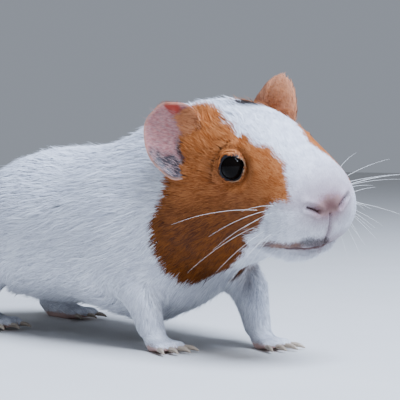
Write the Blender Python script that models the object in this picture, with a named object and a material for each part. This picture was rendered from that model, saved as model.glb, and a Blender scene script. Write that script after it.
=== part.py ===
"""A guinea pig standing on four feet, head turned a little to its right: a still, life-size museum model.

Run with: blender --background --python part.py
Metres, +Z up.  +X points from the rump to the nose along the trunk, +Y to the animal's left.  The origin is on
the floor, under the middle of the whole animal's box.

The animal is designed straight, its nose at x = 0 and its body along -X, and `posed` then bends the neck.  A
place on the body is said by `back`, its distance behind the nose tip, and by heights counted from the nose.
All sizes below are in millimetres, and go through MM where a mesh is made.  The surface is the tip of the coat.
"""

import bmesh
import bpy
import numpy as np

MM = 0.001
GAP = 0.3  # between neighbouring solids
BEYOND = 60.0  # how far a cutter reaches past what it cuts
HANDS = {"right": -1, "left": 1}  # the sign of +Y on each side of the animal

# ------------------------------------------------------------------ driving dimensions
BODY_LENGTH = 212.0
NOSE_HEIGHT = 70.5  # of the nose tip over the floor before the neck is bent
NOSE_ROUNDING = 7.0  # how far behind the tip the muzzle reaches its full section
RUMP_ROUNDING = 62.0

# Each outline of the straight body: (distance behind the nose, height or half width).
TOP_LINE = (
    (0, 9.0), (8, 14.5), (20, 20.5), (32, 24.5), (44, 26.0), (56, 25.5), (68, 23.5),
    (84, 19.5), (104, 10.5), (125, 6.0), (150, 5.5), (180, 3.5), (212, -2.0),
)
BOTTOM_LINE = (
    (0, -12.0), (8, -17.0), (20, -21.0), (34, -27.0), (46, -35.0), (58, -41.0), (70, -48.0),
    (84, -57.0), (100, -61.0), (128, -56.0), (155, -57.5), (185, -57.5), (212, -56.0),
)
HALF_WIDTH = (
    (0, 13.5), (7, 16.0), (15, 17.3), (24, 18.0), (34, 19.0), (46, 23.0), (57, 26.5), (68, 27.5),
    (84, 30.0), (104, 34.5), (128, 37.5), (155, 39.0), (180, 38.5), (212, 35.0),
)
WIDEST_HEIGHT = (
    (0, -3.0), (12, -5.5), (34, -6.0), (56, -12.0), (80, -20.0), (106, -27.0), (165, -27.0), (212, -32.0),
)
SECTION_POWER = 2.15  # 2 would make every section an ellipse

# Swellings on each side: (behind the nose, sideways, height, spread, rise).
SWELLINGS = {
    "whisker_pad": (11.0, 12.0, -6.0, 8.0, 1.6),
    "brow": (34.0, 14.0, 15.0, 8.0, 1.2),
    "cheek": (50.0, 22.0, -20.0, 17.0, 2.5),
    "shoulder": (90.0, 28.0, -26.0, 20.0, 2.5),
    "haunch": (172.0, 34.0, -38.0, 24.0, 1.5),
}

# ------------------------------------------------------------------ the turn of the head
HEAD_YAW = np.radians(-5.0)  # nose to the animal's right
HEAD_PITCH = np.radians(-13.5)  # nose down
HEAD_ROLL = np.radians(12.5)  # left ear up
NECK_FRONT, NECK_BACK = -50.0, -80.0  # the bend lies between these x
SPINE_HEIGHT = 66.0  # the line that the neck bends round
STILL_BELOW, BENT_ABOVE = 12.0, 24.0  # heights over the floor between which the bend sets in

# ------------------------------------------------------------------ where the body is parted
HEAD_END = 67.0
NECK_END = 86.0
JAW_BACK = 24.0
MOUTH_HEIGHT = -12.5

# ------------------------------------------------------------------ eyes and ears (straight head)
EYE_BACK, EYE_SIDE, EYE_HEIGHT = 34.5, 14.7, 9.5
EYE_RADIUS = 5.2

EARS = {  # the ear's middle, the degrees from ahead to where its hollow faces, and those that its top leans out
    "right": {"centre": (58.5, 24.2, 14.0), "facing": 58.0, "lean": -7.0},
    "left": {"centre": (62.5, 23.0, 16.0), "facing": 88.0, "lean": 12.0},
}
EAR_LENGTH, EAR_HALF_HEIGHT = 12.0, 13.8
EAR_CUP = 4.2  # depth of the dish
EAR_THICKNESS = 1.5

# ------------------------------------------------------------------ legs
# Level sections of a leg, from its rounded top to the ankle:
# (height, how far behind the ankle, sideways, half length fore and aft, half width).
FORE_LEG = (
    (52, 6, 20.0, 7.0, 6.0), (36, 9, 22.0, 11.0, 8.0), (24, 7, 21.0, 9.5, 7.5),
    (13, 2, 18.5, 6.4, 5.6), (5, 0, 17.5, 5.2, 4.8),
)
HIND_LEG = (
    (60, -16, 25.0, 13.0, 9.0), (46, -21, 30.0, 22.0, 12.0), (32, -21, 31.0, 22.5, 12.0),
    (20, -13, 29.0, 16.0, 10.5), (11, -5, 25.5, 9.5, 8.0), (4, -1, 23.0, 7.0, 6.0),
)
LEG_TOP_ROUNDING = 12.0
# Each leg's sections, how far its ankle stands behind the nose, and how far behind that its top leans.
LEGS = {
    "front_right": (FORE_LEG, 82.0, 0.0),
    "front_left": (FORE_LEG, 62.0, 16.0),
    "hind_right": (HIND_LEG, 196.0, 0.0),
    "hind_left": (HIND_LEG, 205.0, -10.0),
}
# A foot: length from ankle to toe roots, half width and height; and its toes' number, length, radius and the
# degrees between them.
FORE_FOOT = {"length": 9.0, "half": 5.0, "height": 7.5, "toes": 4, "toe": 7.5, "toe_radius": 2.0, "splay": 15}
HIND_FOOT = {"length": 22.0, "half": 5.6, "height": 8.0, "toes": 3, "toe": 9.5, "toe_radius": 2.5, "splay": 12}
SOLE_DEPTH = 0.8  # how far the round underside of a foot is cut off flat, at the floor
CLAW_LENGTH, CLAW_RADIUS = 4.2, 0.95

# ------------------------------------------------------------------ mesh fineness
BODY_ROUND = 32
MUZZLE_ROWS, HEAD_ROWS, NECK_ROWS, TRUNK_ROWS, RUMP_ROWS = 5, 18, 5, 11, 10
EYE_ROWS, EYE_ROUND = 9, 12
EAR_ROWS, EAR_ROUND = 7, 20
LEG_ROWS, LEG_ROUND = 11, 14
SOLE_ROWS, SOLE_ROUND = 8, 10
TOE_ROWS, TOE_ROUND, CLAW_ROUND = 6, 7, 6


def smooth_curve(x, stations):
    """The curve through the stations at x: cubic pieces whose slopes at a station follow its two neighbours."""
    xs, ys = np.array(stations, float).T
    slope = np.gradient(ys, xs)
    x = np.clip(x, xs[0], xs[-1])
    i = np.clip(np.searchsorted(xs, x, side="right") - 1, 0, len(xs) - 2)
    h = xs[i + 1] - xs[i]
    t = (x - xs[i]) / h
    ends = ys[i] * (1 + 2 * t) * (1 - t) ** 2 + ys[i + 1] * t**2 * (3 - 2 * t)
    return ends + h * (slope[i] * t * (1 - t) ** 2 - slope[i + 1] * t**2 * (1 - t))


def smooth_step(t):
    """0 below 0, 1 above 1, and an S-curve between."""
    t = np.clip(t, 0, 1)
    return t * t * (3 - 2 * t)


def signed_power(value, power):
    """|value| to the power, with value's sign."""
    return np.sign(value) * np.abs(value) ** power


def end_rounding(back):
    """The share of the full section at `back`: about a quarter circle at the muzzle, a quarter ellipse at the
    rump, and 1 between."""
    nose = np.clip(back / NOSE_ROUNDING, 0, 1)
    rump = np.clip((BODY_LENGTH - back) / RUMP_ROUNDING, 0, 1)
    return np.sqrt(1 - (1 - nose) ** 2) ** 0.9 * np.sqrt(1 - (1 - rump) ** 2)


def body_points(back, angle, proud=0.0):
    """Points of the straight body: superelliptic sections across the spine, widest at WIDEST_HEIGHT, and
    swellings that rise as a bell curve of the distance from their middles.  `proud` moves the surface out."""
    back, angle = np.broadcast_arrays(np.asarray(back, float), np.asarray(angle, float))
    full = end_rounding(back)
    middle = smooth_curve(back, WIDEST_HEIGHT)
    sine = signed_power(np.sin(angle), 2 / SECTION_POWER)
    cosine = signed_power(np.cos(angle), 2 / SECTION_POWER)
    above = smooth_curve(back, TOP_LINE) - middle
    below = middle - smooth_curve(back, BOTTOM_LINE)
    reach = np.where(cosine > 0, above, below)
    y = sine * (smooth_curve(back, HALF_WIDTH) * full + proud)
    z = cosine * (reach * full + proud)
    points = np.stack([-back, y, middle + z], -1)
    outward = np.stack([np.zeros_like(y), y, z], -1)
    outward /= np.maximum(np.linalg.norm(outward, axis=-1, keepdims=True), 1e-6)
    for at, side, height, spread, rise in SWELLINGS.values():
        for hand in (-1, 1):
            away = points - np.array([-at, hand * side, height])
            points = points + outward * (rise * np.exp(-(away**2).sum(-1, keepdims=True) / spread**2))
    points[..., 2] += NOSE_HEIGHT
    return points


def posed(points):
    """Bends the neck: the spine line's heading swings to the head's yaw and pitch between NECK_BACK and
    NECK_FRONT, and each section goes with it and rolls."""
    points = np.asarray(points, float)
    line_x = np.linspace(NECK_BACK, NECK_FRONT + 60, 240)
    share = smooth_step((line_x - NECK_BACK) / (NECK_FRONT - NECK_BACK))
    yaw, pitch = HEAD_YAW * share, HEAD_PITCH * share
    heading = np.stack([np.cos(pitch) * np.cos(yaw), np.cos(pitch) * np.sin(yaw), np.sin(pitch)], -1)
    steps = (heading[1:] + heading[:-1]) / 2 * (line_x[1] - line_x[0])
    line = np.concatenate([[[0, 0, 0]], np.cumsum(steps, 0)]) + [NECK_BACK, 0, SPINE_HEIGHT]
    x, y, z = np.moveaxis(points, -1, 0)
    bend = smooth_step((x - NECK_BACK) / (NECK_FRONT - NECK_BACK))
    yaw, pitch, roll = HEAD_YAW * bend, HEAD_PITCH * bend, HEAD_ROLL * bend
    centre = np.stack([np.interp(x, line_x, line[:, k]) for k in range(3)], -1)
    left = np.stack([-np.sin(yaw), np.cos(yaw), np.zeros_like(yaw)], -1)
    up = np.stack([-np.sin(pitch) * np.cos(yaw), -np.sin(pitch) * np.sin(yaw), np.cos(pitch)], -1)
    across = y * np.cos(roll) - (z - SPINE_HEIGHT) * np.sin(roll)
    over = y * np.sin(roll) + (z - SPINE_HEIGHT) * np.cos(roll)
    bent = centre + across[..., None] * left + over[..., None] * up
    free = smooth_step((z - STILL_BELOW) / (BENT_ABOVE - STILL_BELOW)) * (x > NECK_BACK)
    return points + free[..., None] * (bent - points)


def tube_points(path, radii, rows, round_count, widen=1.0):
    """A toe, a sole or a claw: circles across a smooth path, their radii smooth along it, with round ends.
    Rows crowd at the ends, where the radius closes as a quarter circle; `widen` stretches circles sideways."""
    path, radii = np.array(path, float), np.array(radii, float)
    at = np.linspace(0, 1, len(path))
    t = (1 - np.cos(np.linspace(0, np.pi, rows))) / 2
    centre = np.stack([smooth_curve(t, np.stack([at, path[:, k]], -1)) for k in range(3)], -1)
    length = np.linalg.norm(np.diff(path, axis=0), axis=1).sum()
    near_start = np.clip(t * length / radii[0], 0, 1)
    near_end = np.clip((1 - t) * length / radii[-1], 0, 1)
    radius = smooth_curve(t, np.stack([at, radii], -1))
    radius = radius * np.sqrt(1 - (1 - near_start) ** 2) * np.sqrt(1 - (1 - near_end) ** 2)
    along = np.gradient(centre, axis=0)
    along /= np.linalg.norm(along, axis=1, keepdims=True)
    side = np.array([0.0, 1.0, 0.0]) - along * along[:, 1:2]
    side /= np.linalg.norm(side, axis=1, keepdims=True)
    over = np.cross(side, along)
    angle = np.linspace(0, 2 * np.pi, round_count, endpoint=False)[None, :, None]
    ring = np.cos(angle) * side[:, None] * widen + np.sin(angle) * over[:, None]
    return centre[:, None] + radius[:, None, None] * ring


def mesh_object(name, points, faces, material=None):
    """A Blender mesh object from points in millimetres, smooth, with its faces turned outwards."""
    mesh = bpy.data.meshes.new(name)
    mesh.from_pydata((np.asarray(points) * MM).tolist(), [], faces)
    shape = bmesh.new()
    shape.from_mesh(mesh)
    bmesh.ops.recalc_face_normals(shape, faces=shape.faces)
    shape.to_mesh(mesh)
    shape.free()
    mesh.shade_smooth()
    if material:
        mesh.materials.append(material)
    thing = bpy.data.objects.new(name, mesh)
    bpy.context.scene.collection.objects.link(thing)
    return thing


def lofted(name, rings, material=None, pole_start=True, pole_end=True):
    """A closed solid from rings of points.  A ring at a pole has no size and becomes one point; an end that is
    not a pole is closed by a flat face."""
    rings = np.asarray(rings)
    count = rings.shape[1]
    body = rings[1 if pole_start else 0 : -1 if pole_end else None]
    points = [*body.reshape(-1, 3)]
    faces = []
    for row in range(len(body) - 1):
        for k in range(count):
            a, b = row * count + k, row * count + (k + 1) % count
            faces.append((a, b, b + count, a + count))
    first, last = list(range(count)), list(range((len(body) - 1) * count, len(body) * count))
    for ring, pole, tip in ((first, pole_start, rings[0]), (last, pole_end, rings[-1])):
        if pole:
            points.append(tip.mean(0))
            faces += [(ring[k], ring[(k + 1) % count], len(points) - 1) for k in range(count)]
        else:
            faces.append(tuple(ring))
    return mesh_object(name, points, faces, material)


def boolean(thing, cutter, operation):
    """Adds an exact Boolean to `thing` and hides the cutter."""
    modifier = thing.modifiers.new(f"{operation.lower()}_{cutter.name}", "BOOLEAN")
    modifier.object, modifier.operation, modifier.solver = cutter, operation, "EXACT"
    cutter.hide_render = True
    cutter.display_type = "WIRE"
    return thing


def block(name, low, high, shape=lambda corners: corners):
    """A box between two corners, used as a cutter; `shape` may bend it."""
    xs, ys, zs = zip(low, high)
    corners = np.array([[x, y, z] for x in xs for y in ys for z in zs], float)
    faces = [(0, 1, 3, 2), (4, 6, 7, 5), (0, 4, 5, 1), (2, 3, 7, 6), (0, 2, 6, 4), (1, 5, 7, 3)]
    return mesh_object(name, shape(corners), faces)


def paint(name, colour, roughness):
    """A Principled material with one colour."""
    material = bpy.data.materials.new(name)
    material.use_nodes = True
    shader = material.node_tree.nodes["Principled BSDF"]
    shader.inputs["Base Color"].default_value = (*colour, 1)
    shader.inputs["Roughness"].default_value = roughness
    return material


def sided(point, hand):
    """A (back, sideways, height) place as x, y, z on the side `hand`: -1 right, 1 left."""
    return np.array([-point[0], hand * point[1], point[2]], float)


# ------------------------------------------------------------------ head, neck and trunk
def body_section(name, backs, material=None, pole_start=False, pole_end=False, proud=0.0):
    """One length of the body between flat cuts or rounded ends, at the distances `backs` behind the nose."""
    angle = np.linspace(0, 2 * np.pi, BODY_ROUND, endpoint=False)
    rings = posed(body_points(backs[:, None], angle[None, :], proud))
    return lofted(name, rings, material, pole_start, pole_end)


def make_body(coats):
    """The head, the lower jaw parted from it by a level cut, the neck and the trunk."""
    muzzle = NOSE_ROUNDING * (1 - np.cos(np.linspace(0, np.pi / 2, MUZZLE_ROWS + 1)))
    head_backs = np.concatenate([muzzle[:-1], np.linspace(NOSE_ROUNDING, HEAD_END, HEAD_ROWS)])
    head = body_section("head", head_backs, coats["tan"], pole_start=True)
    jaw = body_section("lower_jaw", head_backs[head_backs < JAW_BACK + 12], coats["white"], pole_start=True)
    mouth = NOSE_HEIGHT + MOUTH_HEIGHT
    jaw_room = block("jaw_room", (-JAW_BACK - GAP, -BEYOND, 0), (BEYOND, BEYOND, mouth), posed)
    jaw_block = block("jaw_block", (-JAW_BACK, -BEYOND, 1), (BEYOND, BEYOND, mouth - GAP), posed)
    boolean(head, jaw_room, "DIFFERENCE")
    boolean(jaw, jaw_block, "INTERSECT")
    neck = body_section("neck", np.linspace(HEAD_END + GAP, NECK_END, NECK_ROWS), coats["white"])
    rump_start = BODY_LENGTH - RUMP_ROUNDING
    rump = rump_start + RUMP_ROUNDING * np.sin(np.linspace(0, np.pi / 2, RUMP_ROWS))
    trunk_backs = np.concatenate([np.linspace(NECK_END + GAP, rump_start, TRUNK_ROWS), rump[1:]])
    trunk = body_section("trunk", trunk_backs, coats["white"], pole_end=True)
    return head, neck, trunk


def make_eye(side, hand, head, material):
    """A round eyeball, and its socket in the head that clears it."""
    centre = sided((EYE_BACK, EYE_SIDE, EYE_HEIGHT + NOSE_HEIGHT), hand)
    polar = np.linspace(0, np.pi, EYE_ROWS)[:, None]
    turn = np.linspace(0, 2 * np.pi, EYE_ROUND, endpoint=False)[None, :]
    ball = np.stack([np.sin(polar) * np.cos(turn), np.cos(polar) + 0 * turn, np.sin(polar) * np.sin(turn)], -1)
    lofted(f"eye_{side}", posed(centre + ball * EYE_RADIUS), material)
    socket = lofted(f"eye_socket_{side}", posed(centre + ball * (EYE_RADIUS + GAP)))
    boolean(head, socket, "DIFFERENCE")


def ear_points(side, hand):
    """A cupped, rounded dish, its hollow facing out: rings from the middle of the hollow to the rim, and back
    to the middle behind.  The dish rises with the distance from its middle, and its wall thins to the rim."""
    ear = EARS[side]
    turn, lean = np.radians(ear["facing"]), np.radians(ear["lean"])
    out = np.array([-np.sin(turn), hand * np.cos(turn), 0.0])
    face = np.array([np.cos(turn), hand * np.sin(turn), 0.0]) * np.cos(lean) - [0, 0, np.sin(lean)]
    along = hand * np.cross(face, out)
    share = np.sin(np.linspace(0, np.pi / 2, EAR_ROWS))
    share = np.concatenate([share, share[-2::-1]])[:, None]
    behind = np.concatenate([np.zeros(EAR_ROWS), np.ones(EAR_ROWS - 1)])[:, None]
    angle = np.linspace(0, 2 * np.pi, EAR_ROUND, endpoint=False)[None, :]
    wave = 1 + 0.05 * np.cos(3 * angle + 0.6)
    depth = EAR_CUP * (share**2.2 - 0.45) - behind * EAR_THICKNESS * np.sqrt(1 - share**6)
    across = share * wave * EAR_LENGTH * np.cos(angle)
    upward = share * wave * EAR_HALF_HEIGHT * np.sin(angle)
    middle = sided(ear["centre"], hand) + [0, 0, NOSE_HEIGHT]
    return middle + across[..., None] * out + upward[..., None] * along + (depth + 0 * angle)[..., None] * face


def make_ears(coats):
    """Both ears, cut off where they meet the skull and the neck."""
    skull = body_section("skull_room", np.linspace(0, NECK_END + 20, 30), proud=GAP, pole_start=True)
    for side, hand in HANDS.items():
        ear = lofted(f"ear_{side}", posed(ear_points(side, hand)), coats["ear"])
        boolean(ear, skull, "DIFFERENCE")


# ------------------------------------------------------------------ legs, feet and claws
def leg_points(corner, hand, proud=0.0):
    """Level ellipses from a rounded top down to the ankle; the higher, the further they lean back."""
    sections, ankle_back, lean = LEGS[corner]
    table = np.array(sections, float)
    top, bottom = table[0, 0], table[-1, 0]
    heights = top - (top - bottom) * np.linspace(0, 1, LEG_ROWS) ** 1.4
    back, side, half_long, half_wide = (smooth_curve(heights, table[::-1][:, [0, k]]) for k in (1, 2, 3, 4))
    share = (heights - bottom) / (top - bottom)
    closing = np.sqrt(1 - np.clip(1 - (top - heights) / LEG_TOP_ROUNDING, 0, 1) ** 2)
    angle = np.linspace(0, 2 * np.pi, LEG_ROUND, endpoint=False)[None, :]
    middle_x = -(ankle_back + back + lean * smooth_step(share))
    x = middle_x[:, None] + ((half_long + proud) * closing)[:, None] * np.cos(angle)
    y = hand * side[:, None] + ((half_wide + proud) * closing)[:, None] * np.sin(angle)
    return np.stack([x, y, (heights + proud * share)[:, None] + 0 * angle], -1)


def sole_path(corner, hand, foot):
    """The middle of the foot from under the ankle to the toe roots."""
    sections, ankle_back, _ = LEGS[corner]
    _, behind, side, _, _ = sections[-1]
    heel = np.array([-ankle_back - behind - 2.0, hand * side, foot["height"] / 2 - SOLE_DEPTH])
    root = heel + [foot["length"], 0, -0.12 * foot["height"]]
    return heel, (heel + root) / 2 + [0, 0, 0.05 * foot["height"]], root + [1.0, 0, 0]


def toe_paths(root, foot):
    """Each toe's path, from its root over the knuckle to the tip; the outer toes are turned out and shorter."""
    for k in range(foot["toes"]):
        place = k - (foot["toes"] - 1) / 2
        turn = np.radians(foot["splay"] * place)
        heading = np.array([np.cos(turn), np.sin(turn), 0])
        start = root + [-2.5, place * 2 * foot["half"] / foot["toes"], 0]
        start[2] = foot["toe_radius"]
        reach = foot["toe"] * (1 - 0.12 * abs(place)) + 1.5
        knuckle = start + heading * reach * 0.55 + [0, 0, 0.6]
        tip = start + heading * reach - [0, 0, 0.4]
        yield (start, knuckle, tip), heading


def make_leg(corner, hand, foot, torso, coats):
    """A leg, its foot with toes, a claw on each toe, and the leg's socket in the torso's pieces."""
    leg = lofted(f"leg_{corner}", leg_points(corner, hand), coats["white"], pole_end=False)
    path = sole_path(corner, hand, foot)
    radii = np.array([0.5 * foot["height"], 0.55 * foot["height"], 0.8 * foot["half"]])
    paw = lofted(f"foot_{corner}", tube_points(path, radii, SOLE_ROWS, SOLE_ROUND, 1.15), coats["skin"])
    for number, (toe_path, heading) in enumerate(toe_paths(path[-1], foot), 1):
        toe_radii = foot["toe_radius"] * np.array([1.0, 1.0, 0.75])
        toe = lofted(f"toe_{corner}_{number}", tube_points(toe_path, toe_radii, TOE_ROWS, TOE_ROUND))
        boolean(paw, toe, "UNION")
        base = toe_path[-1] + heading * 0.1 * foot["toe_radius"] + [0, 0, 0.2]
        bow = (base, base + heading * 0.55 * CLAW_LENGTH, base + heading * CLAW_LENGTH - [0, 0, 0.9])
        claw_radii = CLAW_RADIUS * np.array([1.0, 0.8, 0.27])
        claw_points = tube_points(bow, claw_radii, TOE_ROWS, CLAW_ROUND)
        claw = lofted(f"claw_{corner}_{number}", claw_points, coats["claw"])
        room = tube_points(toe_path, toe_radii + GAP, TOE_ROWS, TOE_ROUND)
        boolean(claw, lofted(f"toe_room_{corner}_{number}", room), "DIFFERENCE")
    ground = block(f"ground_{corner}", (-2 * BODY_LENGTH, -BEYOND, -BEYOND), (BEYOND, BEYOND, 0))
    boolean(paw, ground, "DIFFERENCE")
    foot_room = lofted(f"foot_room_{corner}", tube_points(path, radii + GAP, SOLE_ROWS, SOLE_ROUND, 1.15))
    boolean(leg, foot_room, "DIFFERENCE")
    leg_room = lofted(f"leg_room_{corner}", leg_points(corner, hand, GAP), pole_end=False)
    for piece in torso:
        boolean(piece, leg_room, "DIFFERENCE")


def centre_over_origin():
    """Moves everything so that the origin is on the floor, under the middle of the animal's box."""
    graph = bpy.context.evaluated_depsgraph_get()
    shown = [thing for thing in bpy.data.objects if not thing.hide_render]
    points = np.array([corner for thing in shown for corner in thing.evaluated_get(graph).bound_box])
    middle = (points.min(0) + points.max(0)) / 2
    for thing in bpy.data.objects:
        thing.location = (-middle[0], -middle[1], 0)


def main():
    for thing in list(bpy.data.objects):
        bpy.data.objects.remove(thing)
    coats = {
        "white": paint("white_coat", (0.78, 0.77, 0.76), 0.8),
        "tan": paint("tan_coat", (0.42, 0.16, 0.05), 0.8),
        "ear": paint("ear_skin", (0.5, 0.26, 0.23), 0.6),
        "skin": paint("foot_skin", (0.62, 0.42, 0.38), 0.6),
        "eye": paint("eye_dark", (0.005, 0.004, 0.004), 0.08),
        "claw": paint("claw_horn", (0.6, 0.52, 0.42), 0.4),
    }
    head, neck, trunk = make_body(coats)
    for side, hand in HANDS.items():
        make_eye(side, hand, head, coats["eye"])
    make_ears(coats)
    for side, hand in HANDS.items():
        make_leg(f"front_{side}", hand, FORE_FOOT, (head, neck, trunk), coats)
        make_leg(f"hind_{side}", hand, HIND_FOOT, (trunk,), coats)
    centre_over_origin()


main()
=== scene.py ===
# %% [markdown]
# # A guinea pig, life size, standing
#
# A museum model of a smooth-coated guinea pig in tan and white.  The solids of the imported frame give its
# true outline, out to the tips of the hair.  This script dresses them: one skin under the coat, the coat
# itself as many thin locks of solid mesh, glossy eyes, thin ears, horn claws and whiskers.
#
# Everything is designed on a *straight* animal, in millimetres: its nose is at x = 0, its body runs along
# -X, +Y is its left, and z is the height over the floor.  `placed` then bends the neck and moves the
# points into the frame, so that no piece has to be fitted afterwards.

import bmesh
import bpy
import numpy as np
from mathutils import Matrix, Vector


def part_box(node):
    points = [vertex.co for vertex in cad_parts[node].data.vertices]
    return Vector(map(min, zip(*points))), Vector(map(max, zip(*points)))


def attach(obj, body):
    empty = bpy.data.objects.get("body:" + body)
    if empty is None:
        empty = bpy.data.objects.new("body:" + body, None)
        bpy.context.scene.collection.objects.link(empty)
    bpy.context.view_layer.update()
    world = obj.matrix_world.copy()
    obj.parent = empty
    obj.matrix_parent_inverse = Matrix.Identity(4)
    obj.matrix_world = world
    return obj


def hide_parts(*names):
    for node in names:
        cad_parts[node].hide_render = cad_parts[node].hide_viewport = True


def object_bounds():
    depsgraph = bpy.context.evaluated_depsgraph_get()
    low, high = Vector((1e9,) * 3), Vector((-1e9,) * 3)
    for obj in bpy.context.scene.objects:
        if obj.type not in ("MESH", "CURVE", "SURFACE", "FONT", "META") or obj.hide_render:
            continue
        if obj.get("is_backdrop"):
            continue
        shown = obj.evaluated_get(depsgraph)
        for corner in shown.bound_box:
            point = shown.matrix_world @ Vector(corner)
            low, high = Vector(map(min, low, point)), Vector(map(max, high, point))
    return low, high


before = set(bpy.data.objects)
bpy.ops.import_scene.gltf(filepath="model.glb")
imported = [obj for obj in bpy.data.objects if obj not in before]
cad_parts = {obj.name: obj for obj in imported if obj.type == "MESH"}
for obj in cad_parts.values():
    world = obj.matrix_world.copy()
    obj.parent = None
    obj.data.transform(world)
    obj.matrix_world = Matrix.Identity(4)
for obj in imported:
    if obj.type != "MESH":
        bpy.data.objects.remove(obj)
cad_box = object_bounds()
MM = 0.001
HANDS = {"right": -1, "left": 1}
print("the frame's box in mm:", np.round(np.array(cad_box) / MM, 1).tolist())

# %% [markdown]
# ## Curves and small helpers
#
# The outlines of the body are curves through a few stations.  A cubic through two neighbouring stations,
# with slopes taken from the stations beside them, is smooth and never needs more points than the shape
# has.

# %% Curves


def smooth_curve(x, stations):
    """Cubic pieces through the stations; the slope at a station is that between its two neighbours."""
    xs, ys = np.array(stations, float).T
    slope = np.gradient(ys, xs)
    x = np.clip(x, xs[0], xs[-1])
    i = np.clip(np.searchsorted(xs, x, side="right") - 1, 0, len(xs) - 2)
    h = xs[i + 1] - xs[i]
    t = (x - xs[i]) / h
    ends = ys[i] * (1 + 2 * t) * (1 - t) ** 2 + ys[i + 1] * t**2 * (3 - 2 * t)
    return ends + h * (slope[i] * t * (1 - t) ** 2 - slope[i + 1] * t**2 * (1 - t))


def smooth_step(t):
    """0 below 0, 1 above 1, and 3t^2 - 2t^3 between."""
    t = np.clip(t, 0, 1)
    return t * t * (3 - 2 * t)


def bell(distance, spread):
    """exp(-(distance/spread)^2): 1 in the middle, fading smoothly."""
    return np.exp(-((distance / spread) ** 2))


def signed_power(value, power):
    """|value| to the power, with value's sign."""
    return np.sign(value) * np.abs(value) ** power


def full_turn(count):
    """`count` even turns of a circle, in radians."""
    return np.linspace(0, 2 * np.pi, count, endpoint=False)


def length_of(vectors):
    """The length of each vector."""
    return np.linalg.norm(vectors, axis=-1)


def unit(vectors):
    """The vectors at length 1."""
    return vectors / np.maximum(length_of(vectors)[..., None], 1e-9)


def direction(turn, rise):
    """The unit vector at a turn from ahead to the left and a rise over the level, in radians."""
    return np.stack([np.cos(turn) * np.cos(rise), np.sin(turn) * np.cos(rise), np.sin(rise)], -1)


def laid_on(outward, directions):
    """The directions without their part along `outward`, so that they lie on the surface."""
    return directions - outward * (directions * outward).sum(-1, keepdims=True)


def from_line(points, stations):
    """The distance from each point to the nearest piece of the line through the stations."""
    nearest = np.full(len(points), np.inf)
    for start, end in zip(stations[:-1], stations[1:]):
        way = end - start
        share = np.clip(((points - start) @ way) / (way @ way), 0, 1)
        nearest = np.minimum(nearest, length_of(points - start - share[:, None] * way))
    return nearest


def waves(points, size, seed, count=6):
    """Smooth wandering values of about -1 to 1: a mean of sine waves in random directions, `size` mm long."""
    draw = np.random.default_rng(seed)
    headings = unit(draw.normal(size=(count, 3))) * 2 * np.pi / size * draw.uniform(0.7, 1.4, (count, 1))
    return np.sin(points @ headings.T + draw.uniform(0, 2 * np.pi, count)).mean(-1) * 1.8


print("a bell curve at once and twice its spread:", bell(np.array([1.0, 2.0]), 1.0).round(3))

# %% [markdown]
# ## The body's surface
#
# A guinea pig is a loaf: a blunt Roman-nosed head, hardly any neck, and a trunk that is widest behind.
# The surface is a function of two parameters, the distance `back` from the nose and the `angle` round the
# spine: superelliptic sections between a top line and a bottom line, with a few swellings laid on them.
# These are the solids' own numbers, so the surface is where the frame says it is.

# %% The body's outlines, as in the solids
BODY_LENGTH = 212.0
NOSE_HEIGHT = 70.5
NOSE_ROUNDING = 7.0
RUMP_ROUNDING = 62.0
TOP_LINE = (  # in this and the next three, the first number is the distance behind the nose
    (0, 9.0), (8, 14.5), (20, 20.5), (32, 24.5), (44, 26.0), (56, 25.5), (68, 23.5),
    (84, 19.5), (104, 10.5), (125, 6.0), (150, 5.5), (180, 3.5), (212, -2.0),
)
BOTTOM_LINE = (
    (0, -12.0), (8, -17.0), (20, -21.0), (34, -27.0), (46, -35.0), (58, -41.0), (70, -48.0),
    (84, -57.0), (100, -61.0), (128, -56.0), (155, -57.5), (185, -57.5), (212, -56.0),
)
HALF_WIDTH = (
    (0, 13.5), (7, 16.0), (15, 17.3), (24, 18.0), (34, 19.0), (46, 23.0), (57, 26.5), (68, 27.5),
    (84, 30.0), (104, 34.5), (128, 37.5), (155, 39.0), (180, 38.5), (212, 35.0),
)
WIDEST_HEIGHT = (
    (0, -3.0), (12, -5.5), (34, -6.0), (56, -12.0), (80, -20.0),
    (106, -27.0), (165, -27.0), (212, -32.0),
)
SECTION_POWER = 2.15
SWELLINGS = {  # (behind the nose, sideways, height from the nose, spread, rise)
    "whisker_pad": (11.0, 12.0, -6.0, 8.0, 1.6),
    "brow": (34.0, 14.0, 15.0, 8.0, 1.2),
    "cheek": (50.0, 22.0, -20.0, 17.0, 2.5),
    "shoulder": (90.0, 28.0, -26.0, 20.0, 2.5),
    "haunch": (172.0, 34.0, -38.0, 24.0, 1.5),
}


def end_rounding(back):
    """The share of the full section: about a quarter circle at the nose, a quarter ellipse at the rump."""
    nose = np.clip(back / NOSE_ROUNDING, 0, 1)
    rump = np.clip((BODY_LENGTH - back) / RUMP_ROUNDING, 0, 1)
    return np.sqrt(1 - (1 - nose) ** 2) ** 0.9 * np.sqrt(1 - (1 - rump) ** 2)


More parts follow.
